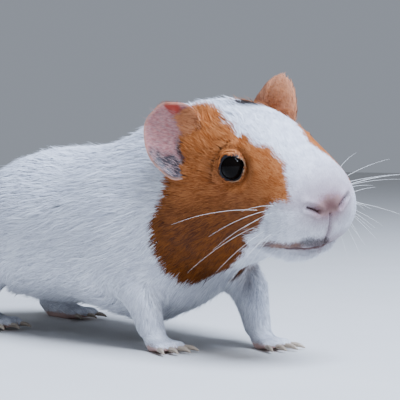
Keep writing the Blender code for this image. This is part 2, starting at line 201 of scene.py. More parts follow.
def body_points(back, angle):
    """A superellipse of half width and reach up or down across the spine, plus bell-shaped swellings."""
    back, angle = np.broadcast_arrays(np.asarray(back, float), np.asarray(angle, float))
    full = end_rounding(back)
    middle = smooth_curve(back, WIDEST_HEIGHT)
    sine = signed_power(np.sin(angle), 2 / SECTION_POWER)
    cosine = signed_power(np.cos(angle), 2 / SECTION_POWER)
    above = smooth_curve(back, TOP_LINE) - middle
    below = middle - smooth_curve(back, BOTTOM_LINE)
    y = sine * smooth_curve(back, HALF_WIDTH) * full
    z = cosine * np.where(cosine > 0, above, below) * full
    points = np.stack([-back, y, middle + z], -1)
    outward = unit(np.stack([np.zeros_like(y), y, z], -1))
    for at, side, height, spread, rise in SWELLINGS.values():
        for hand in HANDS.values():
            away = length_of(points - np.array([-at, hand * side, height]))
            points = points + outward * (rise * bell(away, spread))[..., None]
    points[..., 2] += NOSE_HEIGHT
    return points


print("the straight body is", 2 * max(width for _, width in HALF_WIDTH), "mm wide at most")

# %% [markdown]
# ## The turn of the head
#
# The head is turned a little to its right, dropped, and rolled.  The neck takes the bend: the line of the
# spine swings from the trunk's heading to the head's over 30 mm, and each section goes with it.  The
# feet, which stand on the floor, stay where they are.

# %% Bending the neck
HEAD_YAW, HEAD_PITCH, HEAD_ROLL = np.radians([-5.0, -13.5, 12.5])
NECK_FRONT, NECK_BACK = -50.0, -80.0
SPINE_HEIGHT = 66.0
STILL_BELOW, BENT_ABOVE = 12.0, 24.0
EYE_BACK, EYE_SIDE, EYE_HEIGHT = 34.5, 14.7, 9.5
EYE_RADIUS = 5.2


def posed(points):
    """Carries each point with its section of the bent spine, turned by its yaw, pitch and roll."""
    points = np.asarray(points, float)
    line_x = np.linspace(NECK_BACK, NECK_FRONT + 60, 240)
    share = smooth_step((line_x - NECK_BACK) / (NECK_FRONT - NECK_BACK))
    yaw, pitch = HEAD_YAW * share, HEAD_PITCH * share
    heading = direction(yaw, pitch)
    steps = (heading[1:] + heading[:-1]) / 2 * (line_x[1] - line_x[0])
    line = np.concatenate([[[0, 0, 0]], np.cumsum(steps, 0)]) + [NECK_BACK, 0, SPINE_HEIGHT]
    x, y, z = np.moveaxis(points, -1, 0)
    bend = smooth_step((x - NECK_BACK) / (NECK_FRONT - NECK_BACK))
    yaw, pitch, roll = HEAD_YAW * bend, HEAD_PITCH * bend, HEAD_ROLL * bend
    centre = np.stack([np.interp(x, line_x, line[:, k]) for k in range(3)], -1)
    left = direction(yaw + np.pi / 2, 0 * yaw)
    up = direction(yaw, pitch + np.pi / 2)
    across = y * np.cos(roll) - (z - SPINE_HEIGHT) * np.sin(roll)
    over = y * np.sin(roll) + (z - SPINE_HEIGHT) * np.cos(roll)
    bent = centre + across[..., None] * left + over[..., None] * up
    free = smooth_step((z - STILL_BELOW) / (BENT_ABOVE - STILL_BELOW)) * (x > NECK_BACK)
    return points + free[..., None] * (bent - points)


def sided(place, hand):
    """A place said as (behind the nose, sideways, height from the nose), as x, y, z over the floor."""
    return np.array([-place[0], hand * place[1], place[2] + NOSE_HEIGHT], float)


EYE = {side: sided((EYE_BACK, EYE_SIDE, EYE_HEIGHT), hand) for side, hand in HANDS.items()}
EYE_LOOK = (0.66, 0.75, 0.05)  # forward, sideways and up
OPENING = 4.4  # the radius of the opening between the lids
eye_places = [np.mean(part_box(f"eye_{side}"), axis=0) / MM - posed(EYE[side]) for side in HANDS]
OFFSET = np.mean(eye_places, axis=0) * [1, 1, 0]


def placed(points):
    """From the straight animal to the frame, still in millimetres."""
    return posed(points) + OFFSET


print("from the straight animal to the frame:", np.round(OFFSET, 2), "mm")
print("the two eyes differ by", np.ptp(eye_places, axis=0).round(2), "mm")

# %% [markdown]
# ## Legs and feet
#
# The legs are short and mostly hidden in the coat: level ellipses from a rounded top down to the ankle.
# A foot is a sole and its toes, four in front and three behind, each a tube along a short path.

# %% Legs, soles, toes and claws, as in the solids
FORE_LEG = (  # (height, behind the ankle, sideways, half length fore and aft, half width)
    (52, 6, 20.0, 7.0, 6.0), (36, 9, 22.0, 11.0, 8.0), (24, 7, 21.0, 9.5, 7.5),
    (13, 2, 18.5, 6.4, 5.6), (5, 0, 17.5, 5.2, 4.8),
)
HIND_LEG = (
    (60, -16, 25.0, 13.0, 9.0), (46, -21, 30.0, 22.0, 12.0), (32, -21, 31.0, 22.5, 12.0),
    (20, -13, 29.0, 16.0, 10.5), (11, -5, 25.5, 9.5, 8.0), (4, -1, 23.0, 7.0, 6.0),
)
LEG_TOP_ROUNDING = 12.0
# a foot's sizes, the number and sizes of its toes, and the degrees between two toes
FORE_FOOT = dict(length=9.0, half=5.0, height=7.5, toes=4, toe=7.5, toe_radius=2.0, splay=15)
HIND_FOOT = dict(length=22.0, half=5.6, height=8.0, toes=3, toe=9.5, toe_radius=2.5, splay=12)
LEGS = {  # sections, foot, how far the ankle stands behind the nose, how far the leg's top leans back, hand
    "front_right": (FORE_LEG, FORE_FOOT, 82.0, 0.0, -1),
    "front_left": (FORE_LEG, FORE_FOOT, 62.0, 16.0, 1),
    "hind_right": (HIND_LEG, HIND_FOOT, 196.0, 0.0, -1),
    "hind_left": (HIND_LEG, HIND_FOOT, 205.0, -10.0, 1),
}
SOLE_DEPTH = 0.8
CLAW_LENGTH, CLAW_RADIUS = 4.2, 0.95
LEG_ROWS, LEG_ROUND = 40, 48
TUBE_ROWS, TUBE_ROUND = 24, 28


def leg_axis(corner, heights):
    """The leg's middle line and half sizes at the given heights: curves through its level sections."""
    sections, _, ankle_back, lean, hand = LEGS[corner]
    table = np.array(sections, float)[::-1]
    back, side, half_long, half_wide = (smooth_curve(heights, table[:, [0, k]]) for k in (1, 2, 3, 4))
    share = (heights - table[0, 0]) / (table[-1, 0] - table[0, 0])
    middle = np.stack([-(ankle_back + back + lean * smooth_step(share)), hand * side], -1)
    return middle, half_long, half_wide


def leg_points(corner):
    """Level ellipses about the leg's axis, closing to a dome at the top."""
    top, bottom = LEGS[corner][0][0][0], LEGS[corner][0][-1][0]
    heights = top - (top - bottom) * np.linspace(0.001, 1, LEG_ROWS) ** 1.4
    middle, half_long, half_wide = leg_axis(corner, heights)
    closing = np.sqrt(1 - np.clip(1 - (top - heights) / LEG_TOP_ROUNDING, 0, 1) ** 2)
    angle = full_turn(LEG_ROUND)[None]
    x = middle[:, :1] + (half_long * closing)[:, None] * np.cos(angle)
    y = middle[:, 1:] + (half_wide * closing)[:, None] * np.sin(angle)
    return np.stack([x, y, heights[:, None] + 0 * angle], -1)


def circles(centre, side, over, count):
    """Rings of `count` points: centre + cos(turn) * side + sin(turn) * over, at each centre."""
    turn = full_turn(count)[None, :, None]
    return centre[:, None] + np.cos(turn) * side[:, None] + np.sin(turn) * over[:, None]


def tube_points(path, radii, rows=TUBE_ROWS, count=TUBE_ROUND, widen=1.0):
    """Circles across a smooth path, closing as quarter circles at its ends, and `widen` times as wide."""
    path, radii = np.array(path, float), np.array(radii, float)
    at = np.linspace(0, 1, len(path))
    t = (1 - np.cos(np.linspace(0.03, np.pi - 0.03, rows))) / 2
    centre = np.stack([smooth_curve(t, np.stack([at, path[:, k]], -1)) for k in range(3)], -1)
    length = length_of(np.diff(path, axis=0)).sum()
    near_start = np.clip(t * length / radii[0], 0, 1)
    near_end = np.clip((1 - t) * length / radii[-1], 0, 1)
    radius = smooth_curve(t, np.stack([at, radii], -1))
    radius = radius * np.sqrt(1 - (1 - near_start) ** 2) * np.sqrt(1 - (1 - near_end) ** 2)
    along = unit(np.gradient(centre, axis=0))
    side = unit(laid_on(along, np.array([0.0, 1.0, 0.0])))
    over = np.cross(side, along)
    return circles(centre, side * (radius * widen)[:, None], over * radius[:, None], count)


def sole_path(corner):
    """The middle of the foot from under the ankle to the toe roots."""
    sections, foot, ankle_back, _, hand = LEGS[corner]
    _, behind, side, _, _ = sections[-1]
    heel = np.array([-ankle_back - behind - 2.0, hand * side, foot["height"] / 2 - SOLE_DEPTH])
    root = heel + [foot["length"], 0, -0.12 * foot["height"]]
    return heel, (heel + root) / 2 + [0, 0, 0.05 * foot["height"]], root + [1.0, 0, 0]


def toe_paths(corner):
    """Each toe from its root over the knuckle to the tip; outer toes turn out and are shorter."""
    foot, root = LEGS[corner][1], sole_path(corner)[-1]
    for k in range(foot["toes"]):
        place = k - (foot["toes"] - 1) / 2
        turn = np.radians(foot["splay"] * place)
        heading = direction(turn, 0.0)
        start = root + [-2.5, place * 2 * foot["half"] / foot["toes"], 0]
        start[2] = foot["toe_radius"]
        reach = foot["toe"] * (1 - 0.12 * abs(place)) + 1.5
        knuckle = start + heading * reach * 0.55 + [0, 0, 0.6]
        yield (start, knuckle, start + heading * reach - [0, 0, 0.4]), heading


print("toes:", {corner: len(list(toe_paths(corner))) for corner in LEGS})

# %% [markdown]
# ## From arrays to meshes
#
# A grid of rings becomes quads, and each end is closed by a fan of triangles to one point.  Whole arrays
# go into the mesh at once with `foreach_set`, which is quick even for a million corners.

# %% Rings into closed forms


def ring_faces(rows, count):
    """Quads between neighbouring rings, where point k of ring r has the number r * count + k."""
    r, k = np.arange(rows - 1)[:, None] * count, np.arange(count)[None, :]
    n = (k + 1) % count
    return np.stack([r + k, r + n, r + n + count, r + k + count], -1).reshape(-1, 4)


def closed_form(rings):
    """Points and face sets of rings with both ends closed to their middles, turned outwards by its volume."""
    rows, count = rings.shape[:2]
    points = np.concatenate([rings.reshape(-1, 3), rings[:1].mean(1), rings[-1:].mean(1)])
    k, n = np.arange(count), (np.arange(count) + 1) % count
    last = (rows - 1) * count
    first_pole, last_pole = np.full(count, rows * count), np.full(count, rows * count + 1)
    caps = np.concatenate([np.stack([n, k, first_pole], -1), np.stack([last + k, last + n, last_pole], -1)])
    quads = ring_faces(rows, count)
    a, b, c, d = (points[quads[:, i]] - points.mean(0) for i in range(4))
    volume = (np.cross(b - a, c - a) * a).sum() + (np.cross(c - a, d - a) * a).sum()
    return points, ([quads, caps] if volume > 0 else [quads[:, ::-1], caps[:, ::-1]])


def joined(forms):
    """Several (points, face sets) as one, with the faces renumbered."""
    points, sets, start = [], [], 0
    for form_points, form_sets in forms:
        points.append(form_points)
        sets += [faces + start for faces in form_sets]
        start += len(form_points)
    return np.concatenate(points), sets


print("a tube of 3 rings of 8 points has", len(ring_faces(3, 8)), "quads")

# %% Meshes from points, and back


def new_mesh(name, points, face_sets):
    """A smooth-shaded mesh from points in millimetres and arrays of triangles or quads."""
    mesh = bpy.data.meshes.new(name)
    mesh.vertices.add(len(points))
    mesh.vertices.foreach_set("co", (np.asarray(points) * MM).astype(np.float32).ravel())
    sizes = np.concatenate([np.full(len(faces), faces.shape[1]) for faces in face_sets])
    corners = np.concatenate([faces.ravel() for faces in face_sets])
    mesh.loops.add(len(corners))
    mesh.loops.foreach_set("vertex_index", corners.astype(np.int32))
    mesh.polygons.add(len(sizes))
    mesh.polygons.foreach_set("loop_start", (np.cumsum(sizes) - sizes).astype(np.int32))
    mesh.polygons.foreach_set("loop_total", sizes.astype(np.int32))
    mesh.update(calc_edges=True)
    mesh.shade_smooth()
    return mesh


def linked(name, data):
    """A new object that holds the data, in the scene."""
    thing = bpy.data.objects.new(name, data)
    bpy.context.scene.collection.objects.link(thing)
    return thing


def show(mesh, material, slot, *nodes):
    """Links the mesh as a piece that rides on the body and stands for the given CAD nodes."""
    piece = linked(mesh.name, mesh)
    mesh.materials.append(material)
    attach(piece, "root")
    if nodes:
        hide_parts(*nodes)
    return piece


def write(mesh, **values):
    """Writes one number per point under each name, for the materials to read."""
    for name, numbers in values.items():
        layer = mesh.attributes.new(name, "FLOAT", "POINT")
        layer.data.foreach_set("value", np.asarray(numbers, np.float32).ravel())


def taken(parts, key, width, kind=np.float32):
    """The `key` of all the parts of a mesh, as rows of `width` numbers."""
    flat = np.empty(len(parts) * width, kind)
    parts.foreach_get(key, flat)
    return flat.reshape(-1, width)


def coordinates(mesh):
    """The mesh's points in millimetres."""
    return taken(mesh.vertices, "co", 3).astype(float) / MM


def normals_of(mesh):
    """The mesh's outward direction at each point."""
    return taken(mesh.vertex_normals, "vector", 3).astype(float)


def edges_of(mesh):
    """The two ends of each edge."""
    return taken(mesh.edges, "vertices", 2, np.int32)


def move_points(mesh, points):
    """Moves the mesh's points to the given places, in millimetres."""
    mesh.vertices.foreach_set("co", (points * MM).astype(np.float32).ravel())
    mesh.update()


def relaxed(values, edges, rounds, share=0.5):
    """Each value moves by `share` towards the mean of its neighbours, `rounds` times."""
    values = np.array(values, float)
    flat = values.reshape(len(values), -1)
    both = np.concatenate([edges, edges[:, ::-1]])
    count = np.maximum(np.bincount(both[:, 0], minlength=len(flat)), 1)
    for _ in range(rounds):
        sums = [np.bincount(both[:, 0], flat[both[:, 1], k], len(flat)) for k in range(flat.shape[1])]
        flat += share * (np.stack(sums, -1) / count[:, None] - flat)
    return flat.reshape(values.shape)


in_a_row = np.array([[0, 1], [1, 2]])
print("0, 1, 5 in a row, relaxed once:", relaxed([0, 1, 5], in_a_row, 1))

# %% [markdown]
# ## One skin
#
# Head, neck, trunk, legs and feet are one animal, so no seam may show.  Unions of exact surfaces leave
# sharp creases where a leg meets the belly.  A voxel remesh is better here: it wraps all the forms in one
# even net of quads, and a few rounds of relaxing turn the creases into the soft folds of loose skin.

# %% Wrapping the forms in one net
VOXEL = 1.25
BODY_ROWS, BODY_ROUND = 260, 200
FLOOR_GAP = 0.05
LEGS_BELOW, LEGS_FADE = 34.0, 14.0  # mm: how high over the floor legs begin, and over what height
FACE_BEFORE = -45.0  # the x in front of which the face keeps its finer forms


def wrapped(forms, voxel):
    """The forms joined and remeshed with cubes of `voxel` mm."""
    thing = linked("wrapping", new_mesh("wrapping", *joined(forms)))
    remesh = thing.modifiers.new("remesh", "REMESH")
    remesh.mode, remesh.voxel_size = "VOXEL", voxel * MM
    graph = bpy.context.evaluated_depsgraph_get()
    mesh = bpy.data.meshes.new_from_object(thing.evaluated_get(graph))
    bpy.data.objects.remove(thing)
    return mesh


def animal_forms():
    """The closed forms of the straight animal: body, legs, soles and toes."""
    nose = NOSE_ROUNDING * (1 - np.cos(np.linspace(0.02, np.pi / 2, 24)))
    rump = BODY_LENGTH - RUMP_ROUNDING * (1 - np.sin(np.linspace(0, np.pi / 2 - 0.02, 60)))
    middle = np.linspace(NOSE_ROUNDING, BODY_LENGTH - RUMP_ROUNDING, BODY_ROWS)
    backs = np.concatenate([nose, middle[1:], rump[1:]])
    forms = [closed_form(body_points(backs[:, None], full_turn(BODY_ROUND)[None]))]
    for corner, (_, foot, _, _, _) in LEGS.items():
        forms.append(closed_form(leg_points(corner)))
        radii = np.array([0.5 * foot["height"], 0.55 * foot["height"], 0.8 * foot["half"]])
        forms.append(closed_form(tube_points(sole_path(corner), radii, widen=1.15)))
        toe_radii = foot["toe_radius"] * np.array([1.0, 1.0, 0.75])
        forms += [closed_form(tube_points(path, toe_radii)) for path, _ in toe_paths(corner)]
    return forms


net = wrapped(animal_forms(), VOXEL)
net_edges = edges_of(net)
coat_tips = relaxed(coordinates(net), net_edges, 3)
off_legs = 1 - smooth_step((LEGS_BELOW - coat_tips[:, 2]) / LEGS_FADE)
behind_face = coat_tips[:, 0] < FACE_BEFORE
softer = relaxed(coat_tips, net_edges, 14)
coat_tips += (softer - coat_tips) * (off_legs * behind_face)[:, None]
coat_tips[:, 2] = np.maximum(coat_tips[:, 2], FLOOR_GAP)
print(f"the net has {len(coat_tips)} points and {len(net.polygons)} faces")

# %% [markdown]
# ## The eyes' own directions
#
# Lids, bare skin and hair round an eye are all told by the distance from the edge of the opening between
# the lids.  The opening is nearly round, with a small corner in front and below.

# %% The eyes' directions and openings


def eye_frame(side):
    """The eye's middle, the way it looks, and the ways forward and up along the face."""
    look = unit(np.array(EYE_LOOK) * [1, HANDS[side], 1])
    ahead = unit(laid_on(look, np.array([1.0, 0, 0])))
    return EYE[side], look, ahead, np.cross(look, ahead) * HANDS[side]


def round_the_eye(side, turn):
    """The direction across the eye's look at each turn from ahead towards up."""
    _, _, ahead, upward = eye_frame(side)
    return np.cos(turn)[:, None] * ahead + np.sin(turn)[:, None] * upward


def opening(turn):
    """The opening's radius by the turn from ahead towards up: nearly round, with a corner ahead and below."""
    return OPENING * (1 + 0.04 * np.cos(2 * (turn - np.pi / 2)) + 0.13 * bell(np.cos(turn + 0.5) - 1, 0.09))


def in_eye_frame(points, side):
    """A point's height along the eye's look, its radius from that axis, and its turn about it."""
    middle, look, ahead, upward = eye_frame(side)
    from_middle = points - middle
    ahead_by, up_by = from_middle @ ahead, from_middle @ upward
    return from_middle @ look, np.hypot(ahead_by, up_by), np.arctan2(up_by, ahead_by)


def from_lids(points):
    """How far outside the nearer eye's opening a point is, in mm across the look; negative inside it."""
    away = np.full(len(points), 99.0)
    for side in HANDS:
        height, radius, turn = in_eye_frame(points, side)
        away = np.minimum(away, np.where(height > 0, radius - opening(turn), 99.0))
    return away


print("the right eye looks", eye_frame("right")[1].round(2))

# %% [markdown]
# ## How deep the coat is
#
# The net marks the tips of the hair.  The skin lies under it by the coat's depth: almost nothing on the
# nose and the feet, about one millimetre on the face, and three on the trunk.  The same depth later says
# how high the locks stand, so skin, coat and solids always agree.

# %% The coat's depth, and the skin under it
DEPTH = (  # (behind the nose, depth)
    (0, 0.15), (6, 0.3), (16, 0.6), (30, 1.0), (45, 1.6), (60, 2.2), (80, 2.8), (110, 3.2), (212, 3.2),
)
LEG_DEPTH = (  # (height, depth)
    (0, 0.15), (7, 0.3), (14, 0.9), (24, 1.6), (34, 2.4), (50, 3.2),
)


def leg_share(points):
    """1 on a leg or foot and 0 on the body: near a leg's axis and low, or close to the floor."""
    share = smooth_step((11.0 - points[:, 2]) / 2)
    for corner in LEGS:
        middle, half_long, half_wide = leg_axis(corner, points[:, 2])
        along, across = (points[:, :2] - middle).T
        near = smooth_step((1.45 - np.hypot(along / half_long, across / half_wide)) / 0.3)
        share = np.maximum(share, near * smooth_step((LEGS_BELOW - points[:, 2]) / LEGS_FADE))
    return share


def from_eye(points):
    """The distance to the nearer eye's middle."""
    return np.minimum(length_of(points - EYE["right"]), length_of(points - EYE["left"]))


def by_place(points, along_body, up_leg):
    """A measure that follows one curve along the body and another up the legs."""
    share = leg_share(points)
    return smooth_curve(-points[:, 0], along_body) * (1 - share) + smooth_curve(points[:, 2], up_leg) * share


def coat_depth(points):
    """The depth along the body or up the leg, thinner round the eyes."""
    depth = by_place(points, DEPTH, LEG_DEPTH)
    return depth * (1 - 0.6 * bell(np.maximum(from_lids(points), 0), 3.5))


move_points(net, coat_tips)
net_normals = normals_of(net)
net_depth = relaxed(coat_depth(coat_tips), net_edges, 4)
skin_points = relaxed(coat_tips - net_normals * net_depth[:, None], net_edges, 2)
skin_points[:, 2] = np.maximum(skin_points[:, 2], FLOOR_GAP)
move_points(net, skin_points)
print("the coat is", net_depth.min().round(2), "to", net_depth.max().round(2), "mm deep")

# %% [markdown]
# ## The markings
#
# A tan patch covers each side of the head, from a broad white blaze down the face back to the ears and
# down over the cheek.  It is drawn on the unrolled skin, where a place is the distance behind the nose
# and the degrees from the middle of the back.  Each patch is what lies between an upper and a lower line
# and in front of a rear line.  The hair's own raggedness comes from waves added to the distance from
# those lines.  Smaller marks are told by their distance from a place or a line: a dark tuft on the crown,
# dark dots at the whiskers' roots, and ochre and grey-brown hair at the edge of the lips.  Shade is painted
# in where the head faces down: low on the cheek the tan is deeper, and the front lip and the lower whisker
# pads are darkened.

# %% The markings
BLAZE_EDGE = {  # (behind the nose, degrees down from the top) along the patch's upper line
    "right": (
        (5, 62), (9, 38), (12, 29), (15.5, 22.5), (21.5, 19.5), (27, 23),
        (34.5, 23), (44, 18), (52, 11), (60, 10), (68, 14), (76, 24),
    ),
    "left": (
        (5, 60), (8, 40), (11, 24), (14, 14), (22, 15), (35, 22),
        (44, 16), (50, 7), (60, 5), (66, 9), (76, 24),
    ),
}
CHIN_EDGE = (  # the same along its lower line
    (5, 55), (9, 61), (13, 68), (15, 84), (21.5, 110),
    (34, 144), (42, 156), (50, 163), (62, 166), (76, 160),
)
REAR_EDGE = (  # (degrees down from the top, behind the nose) along its rear line
    (14, 72), (30, 68), (45, 65), (73, 63), (90, 67), (106, 70), (127, 71), (160, 70),
)
# the axis round which the degrees are told: (behind the nose, height from the nose)
SPINE = ((0, -3.0), (12, -5.5), (34, -6.0), (56, -12.0), (80, -20.0), (212, -28.0))
UPPER_LIP = ((5.6, 11.5, -12.4), (9.0, 14.3, -13.0), (15.0, 15.0, -14.2))  # the ochre hair at its edge
# the front lip's grey-brown hair is also darkened as painted shade under the muzzle
FRONT_LIP = ((3.0, 8.5, -11.5), (3.4, 4.0, -12.8), (3.9, 0.0, -13.6))  # the grey-brown hair in front
WHISKER_ROWS, WHISKERS_IN_ROW = 5, 6


def round_the_body(points):
    """Degrees from the top of the back, growing towards the animal's right as -1 and left as +1."""
    height = points[:, 2] - NOSE_HEIGHT - smooth_curve(-points[:, 0], SPINE)
    return np.degrees(np.arctan2(points[:, 1], height))


def from_lip(points, path):
    """The distance from a line along the lips, on the animal's right side, where their hair is coloured."""
    return from_line(points, [sided(place, HANDS["right"]) for place in path])


def tan_share(points):
    """1 in the tan patches: how far, in mm, a place is inside all three lines, made ragged by waves."""
    back, degrees = -points[:, 0], round_the_body(points)
    ragged = waves(points, 7.0, 1) * 0.9 + waves(points, 2.6, 2) * 0.5
    share = np.zeros(len(points))
    for side, hand in HANDS.items():
        down = degrees * hand
        per_degree = np.radians(1) * np.hypot(points[:, 1], points[:, 2] - NOSE_HEIGHT + 8)
        inside = np.minimum(down - smooth_curve(back, BLAZE_EDGE[side]), smooth_curve(back, CHIN_EDGE) - down)
        inside = np.minimum(inside * per_degree, smooth_curve(down, REAR_EDGE) - back)
        inside = np.minimum(inside, back - 5.8)
        share = np.maximum(share, smooth_step(0.5 + (inside + ragged) / 1.2))
    share = np.maximum(share, 0.85 * smooth_step((3.0 - from_lip(points, UPPER_LIP) + ragged) / 1.6))
    return share * (1 - leg_share(points))


def follicles_of(hand):
    """The whiskers' roots: rows along the pad, each place set on the nearest point of the net."""
    shares = np.linspace(0, 1, WHISKER_ROWS), np.linspace(0, 1, WHISKERS_IN_ROW)
    low, rear = (share.ravel() for share in np.meshgrid(*shares, indexing="ij"))
    back, side, height = 4.0 + 13 * rear + 1.5 * low, 16 + 0 * low, NOSE_HEIGHT + 2.0 - 12.5 * low
    places = np.stack([-back, hand * side, height], -1)
    places += np.random.default_rng(50 + hand).normal(0, 0.35, places.shape)
    snout = coat_tips[coat_tips[:, 0] > -25]
    return snout[length_of(places[:, None] - snout[None]).argmin(1)], low, rear


FOLLICLES = {side: follicles_of(hand) for side, hand in HANDS.items()}


def dark_hair_and_shade_share(points):
    """1 in the dark tuft on the crown, before the left ear; less at the whiskers' roots, at the front lip,
    whose grey-brown hair also has painted shade, and as painted shade on the lower whisker pads.
    """
    away = (points - sided((51, 3.5, 25.0), 1)) * [0.75, 1, 1]
    share = smooth_step(1.5 - length_of(away) / 5.0 + 0.3 * waves(points, 3.0, 3))
    # the front lip: grey-brown hair, darkened further as painted shade under the muzzle
    lip = smooth_step((3.4 - from_lip(points, FRONT_LIP)) / 2) * (0.78 + 0.35 * waves(points, 1.4, 5))
    # the lower whisker pads: a little grey where skin shows through thin hair, and painted shade as they face
    # down
    pad = 0.11 * smooth_step((1 - points[:, 2] + NOSE_HEIGHT) / 6) * smooth_step((17 + points[:, 0]) / 8)
    share = np.maximum(share, np.maximum(np.clip(lip, 0, 0.92), pad))
    for follicle in np.concatenate([FOLLICLES[side][0] for side in HANDS]):
        share = np.maximum(share, 0.5 * bell(length_of(points - follicle), 0.55))
    return share


def from_nose(points):
    """The distance from the nose pad's middle, measured shorter sideways, because the pad is wide."""
    return length_of((points - sided((0.5, 0, 0.8), 1)) * [1, 0.62, 1.0])


def bare_share(points):
    """1 on skin that hardly any hair covers: nose pad, lips, soles, toes and the rims of the eyes."""
    nose = smooth_step((5.2 - from_nose(points) + 0.7 * waves(points, 2.0, 4)) / 3.5)
    feet = smooth_step((4.2 - points[:, 2]) / 2.4)
    eyes = smooth_step((0.6 - from_lids(points)) / 0.4)
    return np.maximum(np.maximum(nose, feet), eyes)


def blush_share(points):
    """How much pink skin shows through the thin down: most beside the nose pad, a little on the lips."""
    back, height = -points[:, 0], points[:, 2] - NOSE_HEIGHT
    lips = length_of((points - sided((6, 0, -14), 1)) * [0.5, 0.38, 1])
    muzzle = 0.85 * bell(from_nose(points), 14) * smooth_step((height + 2) / 5)
    philtrum = 0.75 * bell(points[:, 1], 2.3) * smooth_step((9 - back) / 3) * smooth_step(-height / 2)
    shares = [np.minimum(1.2 * bell(from_nose(points), 7.5), 1), 0.8 * bell(lips, 4.8), muzzle, philtrum]
    return np.max(shares, axis=0)


def tan_deepened_and_shaded_low(points):
    """From 0 by the blaze and over the eye, where the tan is palest, to 1 low on the cheek, where the tan is
    deeper and has painted shade.
    """
    return smooth_step((np.abs(round_the_body(points)) - 50) / 60)


def markings(points):
    """What the finishes of skin and coat both read at a place."""
    marks = {"tan": tan_share(points), "dark": dark_hair_and_shade_share(points)}
    return {**marks, "blush": blush_share(points), "depth": tan_deepened_and_shaded_low(points)}


print("tan covers", round(100 * tan_share(coat_tips).mean(), 1), "% of the net's points")

# %% [markdown]
# ## The lie of the coat
#
# Hair on a guinea pig runs backwards from the nose.  On the cheek it sinks towards the throat, above the
# eye it climbs to the ear, it parts round the eye, and on the legs it runs down.  Combing by hand could
# set each of these, but one field of headings says it for every place at once.  Taking out a heading's
# part along the skin's outward direction lays the hair on the skin, and taking out its part towards an
# eye leads it round the lids.

# %% The lie of the coat


def lie_of_coat(points, outward):
    """Backwards, sloped by height on the head and along the flank on the trunk, and led round the eyes."""
    back, height = -points[:, 0], points[:, 2] - NOSE_HEIGHT
    on_head = smooth_step((82 - back) / 25)
    slope = on_head * 0.75 * np.clip((height - 6) / 22, -1, 0.55) - (1 - on_head) * 0.3
    share = leg_share(points)
    heading = np.stack([-np.ones_like(back), np.zeros_like(back), slope], -1)
    heading += share[:, None] * np.array([0.75, 0.0, -1.2])
    heading[points[:, 2] < 8.5] = (1.0, 0.0, -0.3)
    for eye in EYE.values():
        away = points - eye
        heading += unit(away) * (0.5 * bell(length_of(away), 9.5))[:, None]
    heading = laid_on(outward, heading)
    for eye in EYE.values():
        inward = unit(laid_on(outward, eye - points))
        towards = np.clip((heading * inward).sum(-1), 0, None)
        towards *= smooth_step((11 - length_of(points - eye)) / 4)
        heading -= inward * (1.2 * towards)[:, None]
    return unit(heading)


on_top = np.array([[-120.0, 0.0, NOSE_HEIGHT]])
print("the hair on the middle of the back lies along", lie_of_coat(on_top, np.array([[0, 0, 1.0]]))[0])

# %% [markdown]
# ### Walking over a mesh
#
# A lock has to know the skin under its tip, not only at its root.  A walk finds it: from the root's
# point, step to whichever neighbour is nearest to the tip, and so on, for all the locks at once.

# %% Walking over a mesh


def neighbours(edges, count, most=8):
    """A table of up to eight neighbours for each point, padded with the point itself."""
    both = np.concatenate([edges, edges[:, ::-1]])
    both = both[np.argsort(both[:, 0], kind="stable")]
    start = np.searchsorted(both[:, 0], np.arange(count))
    place = np.arange(len(both)) - start[both[:, 0]]
    table = np.repeat(np.arange(count)[:, None], most, 1)
    kept = place < most
    table[both[kept, 0], place[kept]] = both[kept, 1]
    return table


def walk_to(ground, targets, at, steps):
    """From point `at` of the ground, goes from neighbour to neighbour, each time nearer to the target."""
    for _ in range(steps):
        near = np.concatenate([at[:, None], ground["table"][at]], 1)
        away = ((ground["points"][near] - targets[:, None]) ** 2).sum(-1)
        at = near[np.arange(len(at)), away.argmin(1)]
    return at


def ground_of(mesh):
    """What tufts need to know of the mesh they grow on."""
    mesh.calc_loop_triangles()
    points = coordinates(mesh)
    return {
        "points": points,
        "normals": normals_of(mesh),
        "triangles": taken(mesh.loop_triangles, "vertices", 3, np.int32),
        "table": neighbours(edges_of(mesh), len(points)),
    }


print("three points in a row have the neighbours", neighbours(in_a_row, 3, 2).tolist())

# %% [markdown]
# ## Locks of hair
#
# A lock is a slender three-sided spindle: a root point under the skin, a triangle part way along, and the
# tip.  Six triangles are enough, because a lock is well under a millimetre wide.  Its middle and its
# tip are carried to the coat's height over the skin *below them*, found by walking over the mesh, so a
# lock follows the body's curve instead of standing off it.  Neighbouring locks lean together to their
# shared middle, which gives the coat its partings.  Each lock is shaded as a half-round strand on the
# body: on its two upper sides the normals are the skin's own, fanned a little to both sides, and its
# underside has its own direction.

# %% Growing locks
LOCK_FACES = np.array([[1, 2, 0], [2, 3, 0], [3, 1, 0], [2, 1, 4], [3, 2, 4], [1, 3, 4]])
UNDERSIDE = [2, 5]  # the two faces that look at the skin
LOCK_CORNERS = 5  # root, left, ridge, right, tip
LOCK_UV = np.array([[0, -1], [-1, 0], [0, 0.1], [1, 0], [0, 1]]) * 0.0015  # a patch 0.003 across
UNWRAP_LENGTH, UNWRAP_TURN = 225, 375  # the mm and the degrees that the unrolled skin spans
LOCK_TIP = (0.0, 0.4, 0.4, 0.4, 1.0)  # how far along the lock each point counts for the shading
WIDEST_AT = 0.38  # of the length
SIDE_FAN = 0.45  # how far the shading turns to each side
ROOT_SINK = 0.2
MIDDLE_HEIGHT, TIP_HEIGHT = 0.6, 0.97  # of the coat's depth
RIDGE_HEIGHT = 0.22  # of the lock's width


